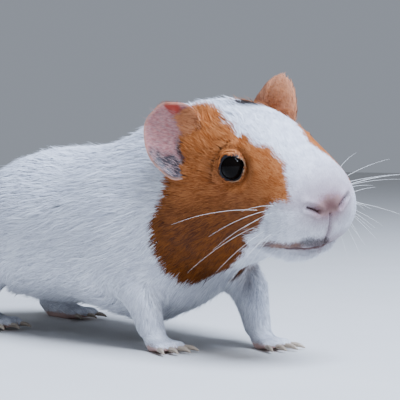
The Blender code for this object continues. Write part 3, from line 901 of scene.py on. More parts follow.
def scattered(ground, weights, count, draw):
    """`count` places on the ground's faces, as dense as the weights at its points say."""
    corners = ground["points"][ground["triangles"]]
    area = length_of(np.cross(corners[:, 1] - corners[:, 0], corners[:, 2] - corners[:, 0])) / 2
    total = np.cumsum(area * weights[ground["triangles"]].mean(1))
    wanted = (np.arange(count) + draw.random(count)) / count * total[-1]
    face = np.minimum(np.searchsorted(total, wanted), len(total) - 1)
    a, b = draw.random((2, count))
    a, b = np.where(a + b > 1, 1 - a, a), np.where(a + b > 1, 1 - b, b)
    shares = np.stack([1 - a - b, a, b], -1)
    at = ground["triangles"][face]
    roots = (ground["points"][at] * shares[..., None]).sum(1)
    outward = unit((ground["normals"][at] * shares[..., None]).sum(1))
    return roots, outward, at[:, 0]


def leaning_together(roots, size, draw):
    """For each root, the way to the middle of the roots that share its cell of `size` mm."""
    cell = np.floor(roots / size + draw.random(3)).astype(np.int64)
    key = cell[:, 0] * 1_000_003 + cell[:, 1] * 1009 + cell[:, 2]
    _, group = np.unique(key, return_inverse=True)
    count = np.bincount(group)
    middle = np.stack([np.bincount(group, roots[:, k]) / count for k in range(3)], -1)
    return middle[group] - roots, draw.random(len(count))[group]


def over_the_skin(ground, place, below, height):
    """The place moved along the skin's outward direction until it is `height` over the skin."""
    outward = ground["normals"][below]
    over = ((place - ground["points"][below]) * outward).sum(-1)
    return place + outward * (height - over)[:, None], outward


def locks(ground, roots, outward, at, heading, length, width, depth, draw, lift=0.0):
    """Each lock's five points, and the directions in which they are shaded."""
    steps = 3 + int(1.2 * length.max() / VOXEL)
    uneven = 1 + 0.11 * draw.standard_normal(len(roots))
    middles = roots + heading * (WIDEST_AT * length)[:, None]
    below = walk_to(ground, middles, at, steps)
    middles, middle_up = over_the_skin(ground, middles, below, MIDDLE_HEIGHT * depth + MIDDLE_HEIGHT * lift)
    tips = roots + heading * length[:, None]
    below = walk_to(ground, tips, at, steps)
    tips, tip_up = over_the_skin(ground, tips, below, TIP_HEIGHT * depth * uneven + lift)
    side = unit(np.cross(middle_up, heading)) * (width / 2)[:, None]
    ridge = middle_up * (RIDGE_HEIGHT * width)[:, None]
    roots = roots - outward * ROOT_SINK
    points = np.stack([roots, middles - side, middles + ridge, middles + side, tips], 1)
    fan = unit(side) * SIDE_FAN
    shading = np.stack([outward, unit(middle_up - fan), middle_up, unit(middle_up + fan), tip_up], 1)
    return points, shading


def turned(points, directions):
    """Directions at points of the straight animal as they are after it is bent: the change over 0.1 mm."""
    return unit(placed(points + 0.1 * directions) - placed(points))


def coat_mesh(name, grown, places_uv, tip=LOCK_TIP, **values):
    """One mesh of many locks, each lock's values on its points, and its small patch on the unwrapped skin."""
    points, shading = grown
    count = len(points)
    faces = (LOCK_FACES[None] + LOCK_CORNERS * np.arange(count)[:, None, None]).reshape(-1, 3)
    mesh = new_mesh(name, placed(points.reshape(-1, 3)), [faces])
    shading = turned(points, shading)
    corner_shading = shading[:, LOCK_FACES]
    corner_shading[:, UNDERSIDE] = -shading[:, None, None, 2]
    mesh.normals_split_custom_set(corner_shading.reshape(-1, 3))
    write(mesh, tip=np.tile(tip, count))
    write(mesh, **{key: np.repeat(numbers, LOCK_CORNERS) for key, numbers in values.items()})
    patches = (places_uv[:, None] + LOCK_UV[None]).reshape(-1, 2)
    layer = mesh.uv_layers.new(name="OFBake")
    layer.uv.foreach_set("vector", patches[faces.ravel()].astype(np.float32).ravel())
    return mesh


def unrolled(points):
    """A place on the skin unrolled round the spine: along the body, and round it, in 0 to 1."""
    along, around = -points[:, 0] / UNWRAP_LENGTH, round_the_body(points) / UNWRAP_TURN
    return np.stack([0.02 + along, 0.5 + around], -1)


print("a lock has", LOCK_FACES.shape[0], "triangles")

# %% [markdown]
# ## Finishes
#
# Each finish starts from what the real surface is.  One function turns a hex colour into the linear light
# that shaders compute with, and one adds a node with its settings and links.  The table says which kinds of
# node the finishes are made of, and which output of each is read.

# %% Colours and nodes
KINDS = {  # (type, the output that is read, fixed settings)
    "mark": ("ShaderNodeAttribute", "Fac", {}),
    "mix": ("ShaderNodeMix", 2, {"data_type": "RGBA"}),
    "range": ("ShaderNodeMapRange", "Result", {}),
    "product": ("ShaderNodeMath", 0, {"operation": "MULTIPLY"}),
    "place": ("ShaderNodeTexCoord", "Object", {}),
    "mapping": ("ShaderNodeMapping", "Vector", {}),
    "noise": ("ShaderNodeTexNoise", "Fac", {}),
    "bump": ("ShaderNodeBump", "Normal", {}),
}
SHARE, UNDER, OVER = 0, 6, 7  # a colour mix's sockets: its share, and the colours at share 0 and 1


def colour(hex_code):
    """An sRGB hex colour as linear red, green, blue and 1."""
    srgb = np.array([int(hex_code[i : i + 2], 16) for i in (1, 3, 5)]) / 255
    linear = np.where(srgb <= 0.04045, srgb / 12.92, ((srgb + 0.055) / 1.055) ** 2.4)
    return (*linear, 1.0)


def set_inputs(material, node, inputs):
    """Gives sockets of the node their values: a number, a hex colour, or another node's socket to link."""
    for key, value in inputs.items():
        if isinstance(value, bpy.types.NodeSocket):
            material.node_tree.links.new(value, node.inputs[key])
        else:
            node.inputs[key].default_value = colour(value) if isinstance(value, str) else value


def add(material, kind, inputs=(), **settings):
    """Adds a node of the kind with its settings and inputs, and gives the output that is read from it."""
    type_name, output, fixed = KINDS[kind]
    node = material.node_tree.nodes.new(type_name)
    for key, value in {**fixed, **settings}.items():
        setattr(node, key, value)
    set_inputs(material, node, dict(inputs))
    return node.outputs[output]


def finish(name, **sockets):
    """A material with a Principled shader whose sockets have the given values."""
    material = bpy.data.materials.new(name)
    material.use_nodes = True
    return with_shader(material, **sockets)


def with_shader(material, **sockets):
    """The material, with more of its shader's sockets set or linked."""
    inputs = {key.replace("_", " "): value for key, value in sockets.items()}
    set_inputs(material, material.node_tree.nodes["Principled BSDF"], inputs)
    return material


def laid_over(material, shade, **colours):
    """The shade with each colour laid over it where the mark of that name on the points is 1."""
    for mark, over in colours.items():
        share = add(material, "mark", attribute_name=mark)
        shade = add(material, "mix", {SHARE: share, UNDER: shade, OVER: over})
    return shade


def sized(material, size_mm, stretch=(1, 1, 1)):
    """The inputs that give a pattern on the object lumps of `size_mm`, stretched by the given numbers."""
    scale = tuple(1 / (size_mm * MM * s) for s in stretch)
    spot = add(material, "mapping", {"Vector": add(material, "place"), "Scale": scale})
    return {"Vector": spot, "Scale": 1.0}


print("the grey #808080 is", round(colour("#808080")[0], 3), "in linear light")

# %% [markdown]
# ### Hair
#
# Guard hair is a translucent fibre of keratin with a soft gloss along it.  White hair has no pigment; tan
# hair is darker at the root, and no two locks have quite the same tan, which is what makes a coat look
# deep.  The locks read the same markings as the skin, a chance number of their own, and how far along
# they are.

# %% The hair's finish
WHITE_HAIR, WHITE_SHADE = "#f3f5fa", "#c3c5cf"
PALE_TAN, PALE_TAN_SHADE = "#bf7947", "#894411"
# the deeper tan goes low on the cheek: darker hair, and painted shade under the head
DEEPER_TAN_AND_SHADE, DEEPER_TAN_AND_SHADE_DARK = "#83460c", "#401c02"
# the dark hair colour is the crown's tuft, and also painted shade at the front lip and on the lower whisker
# pads
TAN_ROOT, DARK_HAIR_AND_SHADE, BLUSH = "#451d06", "#2a211d", "#8d7076"


def coat_colour(material, chance, tip):
    """White, tan or dark by the markings; each shade varies by chance, the tan darkens to the root, and low
    on the cheek it is deeper, with painted shade.
    """
    white = add(material, "mix", {SHARE: chance, UNDER: WHITE_SHADE, OVER: WHITE_HAIR})
    white = laid_over(material, white, blush=BLUSH)
    pale_tan = add(material, "mix", {SHARE: chance, UNDER: PALE_TAN_SHADE, OVER: PALE_TAN})
    deeper_tan_and_shade = add(material, "mix", {SHARE: chance, UNDER: DEEPER_TAN_AND_SHADE_DARK, OVER: DEEPER_TAN_AND_SHADE})
    # low on the cheek the tan is deeper hair, with painted shade laid in
    tan = laid_over(material, pale_tan, depth=deeper_tan_and_shade)
    from_root = add(material, "range", {"Value": tip, "From Min": 0, "From Max": 0.6})
    rooted = add(material, "mix", {SHARE: from_root, UNDER: TAN_ROOT, OVER: tan})
    return laid_over(material, white, tan=rooted, dark=DARK_HAIR_AND_SHADE)


def hair_finish():
    """Keratin guard hair: rough 0.6, index 1.55, its gloss held low because each lock is many fine hairs."""
    material = finish("guard_hair", Roughness=0.6, IOR=1.55, Specular_IOR_Level=0.15)
    chance, tip = (add(material, "mark", attribute_name=name) for name in ("chance", "tip"))
    return with_shader(material, Base_Color=coat_colour(material, chance, tip))


HAIR = hair_finish()
print("the hair's finish has", len(HAIR.node_tree.nodes), "nodes")

# %% [markdown]
# ### Skin
#
# Between the locks only the down shows: the same markings, a little deeper, which is painted shade in the
# gaps between locks.  Where hardly any hair grows, on the nose, the lips, the toes and round the eyes, the
# skin is pink and finely creased, and its slits and the skin inside the lids are painted with shade.

# %% The skin's finish
# the last colour is painted shade in the slits of nose and mouth and inside the lids, over the dark lining of
# nostrils and mouth
PINK_SKIN, NOSE_SKIN, LID_SKIN, SLIT_LINING_AND_SHADE = "#c9a79e", "#573c3a", "#a88a6c", "#3a1a16"


def skin_finish():
    """Downy skin: coat colours by the markings, pink where bare; 0.6 mm streaks of down and fine creases."""
    material = finish("downy_skin", Roughness=0.6, IOR=1.4, Specular_IOR_Level=0.25)
    # single hairs of down would be too fine to show, so the streaks are 0.6 mm wide
    down = add(material, "noise", sized(material, 0.6, (5, 1, 1)) | {"Detail": 3.0})
    chance = add(material, "range", {"Value": down, "From Min": 0.35, "From Max": 0.65})
    # the down's tan is darkened by this noise towards the roots' tan, as painted shade in the gaps between
    # locks
    tip = add(material, "range", {"Value": down, "From Min": 0.2, "From Max": 0.5})
    shade = coat_colour(material, chance, tip)
    pink = laid_over(material, PINK_SKIN, lid=LID_SKIN, nose=NOSE_SKIN)
    # the slits of nose and mouth and the skin inside the lids are painted dark: shade over their dark lining
    shade = laid_over(material, shade, bare=pink, deep=SLIT_LINING_AND_SHADE)
    bump = add(material, "bump", {"Height": down, "Distance": 0.25 * MM, "Strength": 0.6})
    return with_shader(material, Base_Color=shade, Normal=bump)


SKIN = skin_finish()
print("the skin's finish has", len(SKIN.node_tree.nodes), "nodes")

# %% [markdown]
# ## The face's fine forms
#
# The net's squares are over a millimetre wide: enough for a flank, too coarse for a nostril.  So the skin
# is divided once more on the head and feet and once again round nose and eyes.  Slits and folds are then
# pressed in along curves: a point sinks by a bell curve of its distance from the curve.

# %% Dividing the skin where it matters
DIVIDED_WITHIN = ((12, 34, 11), (7.5, 12.5, 0))  # mm from an eye, behind the nose and over the floor


def divided(mesh, wanted):
    """Splits each edge whose two ends are `wanted` in two, and the faces between them with them."""
    shape = bmesh.new()
    shape.from_mesh(mesh)
    edges = [edge for edge in shape.edges if wanted[edge.verts[0].index] and wanted[edge.verts[1].index]]
    bmesh.ops.subdivide_edges(shape, edges=edges, cuts=1, use_grid_fill=True)
    shape.to_mesh(mesh)
    shape.free()
    mesh.update()


skin = net.copy()
skin.name = "skin"
for from_an_eye, behind_nose, over_floor in DIVIDED_WITHIN:
    points = coordinates(skin)
    near = (from_eye(points) < from_an_eye) | (-points[:, 0] < behind_nose) | (points[:, 2] < over_floor)
    divided(skin, near)
    points, edges = coordinates(skin), edges_of(skin)
    fine = relaxed((-points[:, 0] < 48) | (from_eye(points) < 14) | (points[:, 2] < 12), edges, 4)
    move_points(skin, points + (relaxed(points, edges, 4) - points) * fine[:, None])
skin_triangles = sum(len(polygon.vertices) - 2 for polygon in skin.polygons)
print(f"the skin has {len(skin.vertices)} points and {skin_triangles} triangles")

# %% [markdown]
# ## Ears
#
# A guinea pig's ear is a thin petal, cupped and nearly bare inside, with a rolled rim and soft folds that
# run from the ear's opening.  It is a dish: depth grows with the distance from its middle, a wall of
# little more than a millimetre thins to the rim, and folds are added where the real ear has them.  The
# front edge dives under the hair of the head, and the head's skin is pressed down under the dish, so that
# it never fills the hollow.

# %% The ears' form
EARS = {  # the dish's middle, the turn and lean of its hollow in degrees, how deep its front edge dives
    "right": dict(centre=(58.0, 23.8, 14.0), facing=58.0, lean=-7.0, dive=5.5),
    "left": dict(centre=(61.0, 22.6, 16.0), facing=94.0, lean=9.0, dive=1.0),
}
EAR_LENGTH, EAR_HALF_HEIGHT, EAR_CUP, EAR_THICKNESS = 11.6, 13.3, 4.2, 1.3
EAR_ROWS, EAR_ROUND = 44, 128


def ear_directions(side):
    """Where the ear lies away from the head, upwards along it, and where its hollow faces."""
    ear, hand = EARS[side], HANDS[side]
    turn, lean = np.radians(ear["facing"]), np.radians(ear["lean"])
    out = np.array([-np.sin(turn), hand * np.cos(turn), 0.0])
    face = direction(turn, -lean) * [1, hand, 1]
    return out, hand * np.cross(face, out), face


def dish_height(side, across, upward):
    """The hollow's height by its place: a cup to the power 2.2, its front edge diving under the hair."""
    share = np.minimum(np.hypot(across, upward), 1)
    front = -across + 0.3 * np.maximum(upward, 0)
    return EAR_CUP * (share**2.2 - 0.45) - EARS[side]["dive"] * smooth_step((front - 0.1) / 0.85)


def ear_rings(side):
    """Rings from the hollow's middle to the rim and back behind: a dish with a rolled rim and folds."""
    out, along, face = ear_directions(side)
    share = np.sin(np.linspace(0.02, np.pi / 2, EAR_ROWS))
    share = np.concatenate([share, share[-2::-1]])[:, None]
    behind = np.concatenate([np.zeros(EAR_ROWS), np.ones(EAR_ROWS - 1)])[:, None]
    angle = full_turn(EAR_ROUND)[None]
    across, upward = share * np.cos(angle), share * np.sin(angle)
    wave = 1 + 0.05 * np.cos(3 * angle + 0.6) + 0.012 * np.sin(7 * angle) * share
    depth = dish_height(side, across, upward) - behind * EAR_THICKNESS * np.sqrt(1 - share**6)
    fold = bell(np.cos(angle - 2.5) - 1, 0.12) - 0.8 * bell(np.cos(angle - 2.0) - 1, 0.08)
    fold = fold * bell(share - 0.62, 0.28)
    ripple = 0.16 * np.sin(11 * angle + 4 * share) * share * smooth_step((1 - share) / 0.2)
    canal = -2.2 * bell(np.hypot(across + 0.3, upward + 0.25), 0.26)
    roll = 0.55 * bell(share - 0.93, 0.07)
    depth = depth + (1 - behind) * (1.1 * fold + canal + roll) + ripple
    rings = sided(EARS[side]["centre"], HANDS[side]) + depth[..., None] * face
    rings = rings + (across * wave * EAR_LENGTH)[..., None] * out
    rings = rings + (upward * wave * EAR_HALF_HEIGHT)[..., None] * along
    return rings, share + 0 * angle, behind + 0 * angle


def in_ear_frame(points, side):
    """A point's place away from the head and upwards, as shares of the ear, and its height over the dish."""
    out, along, face = ear_directions(side)
    away = points - sided(EARS[side]["centre"], HANDS[side])
    return away @ out / EAR_LENGTH, away @ along / EAR_HALF_HEIGHT, away @ face


def with_room_for_ears(points):
    """Presses the skin under each ear's dish, so that it does not come through the hollow."""
    points = points.copy()
    for side in HANDS:
        across, upward, height = in_ear_frame(points, side)
        room = dish_height(side, across, upward) - EAR_THICKNESS - 0.8
        inside = smooth_step((0.98 - np.hypot(across, upward)) / 0.2) * smooth_step((across + 0.55) / 0.25)
        too_high = np.clip(height - room, 0, 9) * inside
        points -= too_high[:, None] * ear_directions(side)[2]
    return points


print("the right ear's hollow faces", ear_directions("right")[2].round(2))

# %% [markdown]
# ### Eyes in their lids
#
# The eyes of a guinea pig stand out at the sides of the head, round and nearly all dark.  The lids hug
# the ball: outside the opening the skin may not sink below a ball a little larger than the eye, and
# inside the opening it is pushed behind the ball.  Points close to the lids' edge are gathered on it, so
# that the edge is a clean curve on a net of a third of a millimetre.

# %% Raising the lids
LID_THICKNESS = 0.6
LID_EDGE = 0.3  # mm over which the skin turns in at the opening, and from which points are gathered
LID_CREASE = 6.4  # mm from the eye's axis to the fine crease round the lids
PRESSED_WITHIN = 9.2  # mm from the eye's axis: nearer skin is pressed towards the ball


def with_lids(points):
    """Lays the skin on the lids' ball, sinks it inside the opening, and gathers points on the lids' edge."""
    points = points.copy()
    for side in HANDS:
        height, radius, turn = in_eye_frame(points, side)
        lid = np.sqrt(np.maximum((EYE_RADIUS + LID_THICKNESS) ** 2 - radius**2, 0))
        lid = lid * smooth_step((EYE_RADIUS + 1.6 - radius) / 2)
        pressed = 0.75 * smooth_step((PRESSED_WITHIN - radius) / 4.5)
        settled = height + (np.minimum(height, lid + 0.5) - height) * pressed
        wanted = np.maximum(settled, lid) + 0.25 * bell(height - lid, 0.7)
        wanted = wanted - 0.15 * bell(radius - LID_CREASE, 0.5)
        gap = opening(turn) - radius
        inside = smooth_step(gap / LID_EDGE)
        wanted = wanted * (1 - inside) - 0.5 * inside
        near = smooth_step((9.5 - radius) / 2) * smooth_step((height + 4.5) / 3.5)
        gathered = 0.85 * gap * bell(gap, LID_EDGE) * smooth_step(height + 1)
        points += (near * (wanted - height))[:, None] * eye_frame(side)[1]
        points += gathered[:, None] * round_the_eye(side, turn)
    return points


print("the lids' ball is", 2 * (EYE_RADIUS + LID_THICKNESS), "mm across")

# %% [markdown]
# ### Nose and mouth
#
# The nostrils are two slits that slope to the middle, with a soft wing over each; under them the split
# upper lip runs down to a small mouth.  Sculpting them by hand would follow no measure.  Here each is a
# line through a few places on the skin, and a point sinks or rises by a bell curve of its distance from
# the line.

# %% Nose and mouth
# lines through places: (behind the nose, sideways, height from the nose)
NOSTRIL = ((1.8, 8.4, 1.7), (0.9, 6.6, 0.9), (0.3, 4.6, -0.5))
NOSTRIL_WING = ((2.6, 9.2, 3.9), (1.1, 7.0, 3.3), (0.4, 4.4, 2.3), (0.3, 2.6, 0.4))
PHILTRUM = ((0.0, 0.0, -2.4), (0.6, 0.0, -7.5), (3.4, 0.0, -13.8))
LIPS = ((5.2, 0.0, -15.0), (5.8, 5.5, -15.0), (6.2, 10.5, -13.9), (8.5, 12.6, -13.9))


def from_path(points, path, hand):
    """Each point's distance from the path's nearest piece, with the path's stations first set on the skin."""
    stations = np.array([sided(place, hand) for place in path])
    return from_line(points, [points[length_of(points - station).argmin()] for station in stations])


def with_nose_and_mouth(points, outward):
    """Presses in nostrils, philtrum and mouth and raises the nostrils' wings and the lips; also how deep in a
    slit each place is, which is painted as shade.
    """
    rise, deep, mouth = np.zeros((3, len(points)))
    for hand in HANDS.values():
        nostril, wing = from_path(points, NOSTRIL, hand), from_path(points, NOSTRIL_WING, hand)
        philtrum, lips = from_path(points, PHILTRUM, hand), from_path(points, LIPS, hand)
        rise += 0.45 * bell(wing, 1.3) - 1.5 * bell(nostril, 0.75) + 0.25 * bell(nostril - 1.9, 0.8)
        rise += -0.55 * bell(philtrum, 0.6) + 0.35 * bell(lips - 1.8, 1.0) - 1.4 * bell(lips, 0.7)
        deep = np.maximum(deep, np.maximum(0.9 * bell(nostril, 0.8), 0.95 * bell(lips, 1.05)))
        deep = np.maximum(deep, 0.5 * bell(philtrum, 0.5))
        mouth = np.maximum(mouth, 0.95 * bell(lips, 2.2))
    return points + outward * rise[:, None], deep, mouth


skin_at = with_lids(coordinates(skin))
move_points(skin, skin_at)
skin_at, deep, mouth = with_nose_and_mouth(skin_at, normals_of(skin))
skin_at[:, 2] = np.maximum(skin_at[:, 2] - 0.35 * smooth_step((1.6 - skin_at[:, 2]) / 1.2), 0.02)
move_points(skin, skin_at)
skin_ground = ground_of(skin)

lid_share = smooth_step((3.0 - from_lids(skin_at)) / 1.5)
in_lids = smooth_step((0.2 - from_lids(skin_at)) / 0.3)
write(skin, **markings(skin_at), bare=np.maximum(bare_share(skin_at), 0.8 * mouth))
write(skin, nose=np.maximum(bell(from_nose(skin_at), 6.0), mouth), lid=lid_share)
# where painted shade goes: the slits, the mouth and the skin inside the lids
write(skin, deep=np.max([deep, mouth, in_lids], axis=0))
move_points(skin, placed(with_room_for_ears(skin_at)))
flesh = ["head", "lower_jaw", "neck", "trunk"]
flesh += [f"{part}_{corner}" for part in ("leg", "foot") for corner in LEGS]
show(skin, SKIN, "white_coat", *flesh)
print("the skin stands for", len(flesh), "nodes; its deepest fold is at", skin_at[deep.argmax()].round(1))

# %% [markdown]
# ## Eyeballs
#
# Each eye is a whole ball.  Pupil and iris of this animal are both so dark that they read as one black,
# and the life is in the wet gloss of the cornea: a nearly black ball with almost no roughness.  A dark
# hairless margin runs round the opening, where the lids meet the ball.

# %% Eyes and lid rims
RIM_HALF_WIDTH, RIM_HALF_HEIGHT = 0.7, 0.46


def ball_points(middle, radius, rows=40, count=64):
    """Rings from pole to pole of a ball."""
    polar = np.linspace(0.03, np.pi - 0.03, rows)[:, None]
    turn = full_turn(count)[None]
    spots = [np.sin(polar) * np.cos(turn), np.cos(polar) + 0 * turn, np.sin(polar) * np.sin(turn)]
    return middle + radius * np.stack(spots, -1)


def eye_finish():
    """Wet cornea over a dark brown eye: base near black, index 1.34, almost no roughness."""
    material = finish("wet_dark_eye", Roughness=0.03, IOR=1.34, Specular_IOR_Level=0.11)
    haze = add(material, "noise", sized(material, 2.0))
    shade = add(material, "mix", {SHARE: haze, UNDER: "#040303", OVER: "#0b0705"})
    return with_shader(material, Base_Color=shade)


def lid_finish():
    """Hairless lid margin: slate-dark wet skin, slightly glossy, finely creased across."""
    material = finish("slate_lid_margin", Roughness=0.5, IOR=1.4, Specular_IOR_Level=0.3)
    crease = add(material, "noise", sized(material, 0.5) | {"Detail": 3.0})
    shade = add(material, "mix", {SHARE: crease, UNDER: "#0b0a0d", OVER: "#1f1d22"})
    bump = add(material, "bump", {"Height": crease, "Distance": 0.1 * MM})
    return with_shader(material, Base_Color=shade, Normal=bump)


def rim_points(side, rows=96, count=12):
    """A closed loop round the opening on the ball, as rings of a flattened tube."""
    middle, look, _, _ = eye_frame(side)
    turn = full_turn(rows)
    radius = opening(turn)
    height = np.sqrt((EYE_RADIUS + 0.2) ** 2 - radius**2)
    line = middle + round_the_eye(side, turn) * radius[:, None] + look * height[:, None]
    outward = unit(line - middle)
    sideways = np.cross(unit(np.roll(line, -1, 0) - np.roll(line, 1, 0)), outward)
    return circles(line, RIM_HALF_WIDTH * sideways, RIM_HALF_HEIGHT * outward, count)


def loop_mesh(name, rings):
    """A tube that closes on itself: quads between each ring and the next, the last with the first."""
    rows, count = rings.shape[:2]
    faces = ring_faces(rows + 1, count) % (rows * count)
    return new_mesh(name, placed(rings.reshape(-1, 3)), [faces])


EYE_BALL, LID_RIM = eye_finish(), lid_finish()
for side in HANDS:
    ball, sets = closed_form(ball_points(EYE[side], EYE_RADIUS))
    show(new_mesh(f"eyeball_{side}", placed(ball), sets), EYE_BALL, "eye", f"eye_{side}")
    show(loop_mesh(f"lid_rim_{side}", rim_points(side)), LID_RIM, "ear_skin")
print("each eye is", 2 * EYE_RADIUS, "mm across, its opening about", 2 * OPENING, "mm")

# %% [markdown]
# ## The coat
#
# Guard hairs lie over one another like thatch: about a millimetre of velvet on the nose, seven on the
# cheek, thirteen on the back.  Hair strands as curves would need a renderer's own hair system; locks of
# plain mesh go anywhere.  All locks of the body are scattered together, so that no boundary shows, then
# sorted from nose to rump and shared out over a few meshes.  The coat stands looser in a few places: long
# white locks reach over the tan from behind the whisker pads, some hang from the chin and the belly, and
# a few stray locks stand out.

# %% Length, width and number of the locks
LENGTH = (  # (behind the nose, length)
    (0, 0.8), (6, 1.3), (14, 2.4), (24, 4.0), (36, 5.6),
    (50, 7.5), (66, 9), (85, 11), (110, 12.5), (212, 13),
)
WIDTH = (  # (behind the nose, width)
    (0, 0.15), (14, 0.2), (30, 0.28), (50, 0.33), (66, 0.38), (90, 0.46), (120, 0.52), (212, 0.56),
)
LEG_LENGTH = (  # (height, length)
    (0, 1.6), (7, 2.6), (14, 4.0), (24, 5.5), (36, 8.0), (60, 12.0),
)


def pad_rear(points):
    """1 at the lower rear of the whisker pads, whose long white locks reach over the tan."""
    middles = (sided((17, 15, -11), hand) for hand in HANDS.values())
    return np.maximum(*(bell(length_of(points - middle), 6.0) for middle in middles))


def chin(points):
    """1 under the chin, behind the mouth, where fluffier hair hangs from the lower jaw."""
    below_mouth = smooth_step((NOSE_HEIGHT - 14.6 - points[:, 2]) / 1.2)
    behind_mouth = smooth_step((-points[:, 0] - 5.0) / 2)
    away = length_of((points - sided((12, 0, -18.0), 1)) * [0.75, 0.55, 1])
    return bell(away, 7.5) * below_mouth * behind_mouth


def skirt(points):
    """1 along the belly's lower edge, where the coat hangs loose."""
    low = smooth_step((26 - points[:, 2]) / 8) * (1 - leg_share(points))
    return low * smooth_step((-points[:, 0] - 88) / 15)


def ear_fringe(points):
    """1 close in front of an ear, where long hair stands up over its front edge."""
    share = np.zeros(len(points))
    for side in HANDS:
        across, upward, height = in_ear_frame(points, side)
        near = smooth_step((1.7 - np.hypot(across, upward)) / 0.5) * smooth_step((-0.3 - across) / 0.4)
        share = np.maximum(share, near * (np.abs(height) < 9) * smooth_step((upward + 0.5) / 0.4))
    return share


def lock_length(points):
    """By the place along the body or up the leg; short round the eyes, long behind the whisker pads."""
    size = by_place(points, LENGTH, LEG_LENGTH)
    size *= 1 - 0.72 * bell(np.maximum(from_lids(points), 0), 4.5)
    size += 8.0 * pad_rear(points) + 4.0 * chin(points)
    for side in HANDS:
        across, upward, _ = in_ear_frame(points, side)
        size *= 1 - 0.6 * bell(np.hypot(across + 0.85, upward + 0.75), 0.5)
    return size


def lock_width(points):
    """By the place along the body, thinner on the legs."""
    return smooth_curve(-points[:, 0], WIDTH) * (1 - 0.35 * leg_share(points))


def crowding(points):
    """Locks per area: enough to cover each other several times, none on bare skin, in lids or under ears."""
    cover = 1 / (lock_length(points) * lock_width(points) + 0.4)
    cover *= 1 - 0.55 * leg_share(points)
    for side in HANDS:
        across, upward, height = in_ear_frame(points, side)
        over = height - dish_height(side, across, upward)
        cover *= 1 - (np.hypot(across, upward) < 0.88) * (across > -0.6) * (over > -3.4) * (over < 6)
    cover *= 1 + 0.8 * ear_fringe(points) + 1.8 * chin(points)
    bare = smooth_step((bare_share(points) - 0.3) / 0.5)
    open_eye = smooth_step((0.35 - from_lids(points)) / 0.2)
    return cover * (1 - bare) * (1 - open_eye)


print("the longest locks are", lock_length(skin_ground["points"]).max().round(1), "mm")

# %% [markdown]
# ### All the body's locks
#
# Each lock starts along the coat's lie.  Slow waves swing whole tracts of hair together, chance turns
# each lock a little by itself, and neighbours lean together.  Chance also stretches, thickens and lifts
# each one.

# %% Growing the body's locks
BODY_LOCKS = 205_000
CLUMP = 2.2  # mm: the locks that share a cell of this size lean together
STRAY = 0.1  # how far, in radians, a single lock strays from its neighbours' heading
STANDING = 0.045  # the share of locks that stand out of the coat


def laid_over_ears(points):
    """Lifts the middle and the tip of locks that come just under an ear's dish onto its hollow side."""
    points = points.copy()
    for side in HANDS:
        across, upward, height = in_ear_frame(points, side)
        over = np.clip(dish_height(side, across, upward) + 0.7 - height, 0, None)
        over = np.where(over < 4.0, over, 0) * smooth_step((1.12 - np.hypot(across, upward)) / 0.12)
        over[:, 0] = 0
        over[:, 1:4] = over[:, 1:4].max(1, keepdims=True)
        points += over[..., None] * ear_directions(side)[2]
    return points


def grow(ground, weights, count, seed):
    """Scatters roots and lays each lock along the coat's lie, with some waves and chance."""
    draw = np.random.default_rng(seed)
    roots, outward, at = scattered(ground, weights, count, draw)
    length, width = lock_length(roots), lock_width(roots)
    heading = lie_of_coat(roots, outward)
    sideways = np.cross(outward, heading)
    swing = 0.16 * waves(roots, 16.0, seed + 1) + 0.1 * waves(roots, 5.0, seed + 2)
    swing += STRAY * draw.standard_normal(count)
    together, clump_chance = leaning_together(roots, CLUMP, draw)
    leaning = 0.6 / length * smooth_step((length - 2.5) / 4)
    heading = unit(heading + sideways * swing[:, None] + together * leaning[:, None])
    fringe = ear_fringe(roots)
    hanging = np.where(draw.random(count) < 0.6, chin(roots), 0)
    length = length * draw.uniform(0.75, 1.2, count) * (1 + 0.6 * fringe)
    length *= 1 - 0.6 * (chin(roots) - hanging)
    width = width * draw.uniform(0.75, 1.25, count)
    lift = 1.2 * fringe + 0.7 * pad_rear(roots) + 5.0 * hanging + 2.5 * skirt(roots)
    lift *= draw.uniform(0.2, 1.1, count)
    standing = draw.random(count) < STANDING * smooth_step((-roots[:, 0] - 25) / 50)
    lift += standing * draw.uniform(0.4, 1.7, count) * (1 - leg_share(roots))
    points, shading = locks(ground, roots, outward, at, heading, length, width, coat_depth(roots), draw, lift)
    points[fringe > 0.05] = laid_over_ears(points[fringe > 0.05])
    points[..., 2] = np.maximum(points[..., 2], 0.1)
    chance = np.clip(0.5 + 0.5 * (clump_chance - 0.5) + 0.3 * draw.standard_normal(count), 0, 1)
    return roots, points, shading, chance


body_weights = crowding(skin_ground["points"]) * smooth_step((0.5 - deep) / 0.3)
body_roots, body_locks, body_shading, body_chance = grow(skin_ground, body_weights, BODY_LOCKS, 11)
print(len(body_roots), "locks; the longest reaches", np.ptp(body_locks, axis=1).max().round(1), "mm")

# %% [markdown]
# ### Sharing the locks out
#
# A lock takes its markings from the place where its outer half lies, jittered by half a millimetre, so
# that tan and white interlace as they do in real hair.  The locks of the legs are a piece of their own.

# %% The coat's pieces
BODY_PIECES = 8
HIND_LEGS_BEHIND = -140.0  # the x behind which a leg is a hind leg
MARK_JITTER = 0.55  # mm: how far a lock's colour may be taken from beside it, so that edges interlace
jitter = np.random.default_rng(19)


def show_coat(name, slot, chosen, places_uv):
    """The chosen locks as one piece, with the markings of about the place where their outer half lies."""
    points, shading = body_locks[chosen], body_shading[chosen]
    root_share = np.clip(1.4 * pad_rear(points[:, 0]), 0, 1)[:, None]
    places = (0.4 * points[:, 2] + 0.6 * points[:, 4]) * (1 - root_share) + points[:, 0] * root_share
    marks = markings(places + MARK_JITTER * jitter.standard_normal(places.shape))
    mesh = coat_mesh(name, (points, shading), places_uv, chance=body_chance[chosen], **marks)
    show(mesh, HAIR, slot)
    print(f"{name}: {len(chosen)} locks, {len(LOCK_FACES) * len(chosen)} triangles")


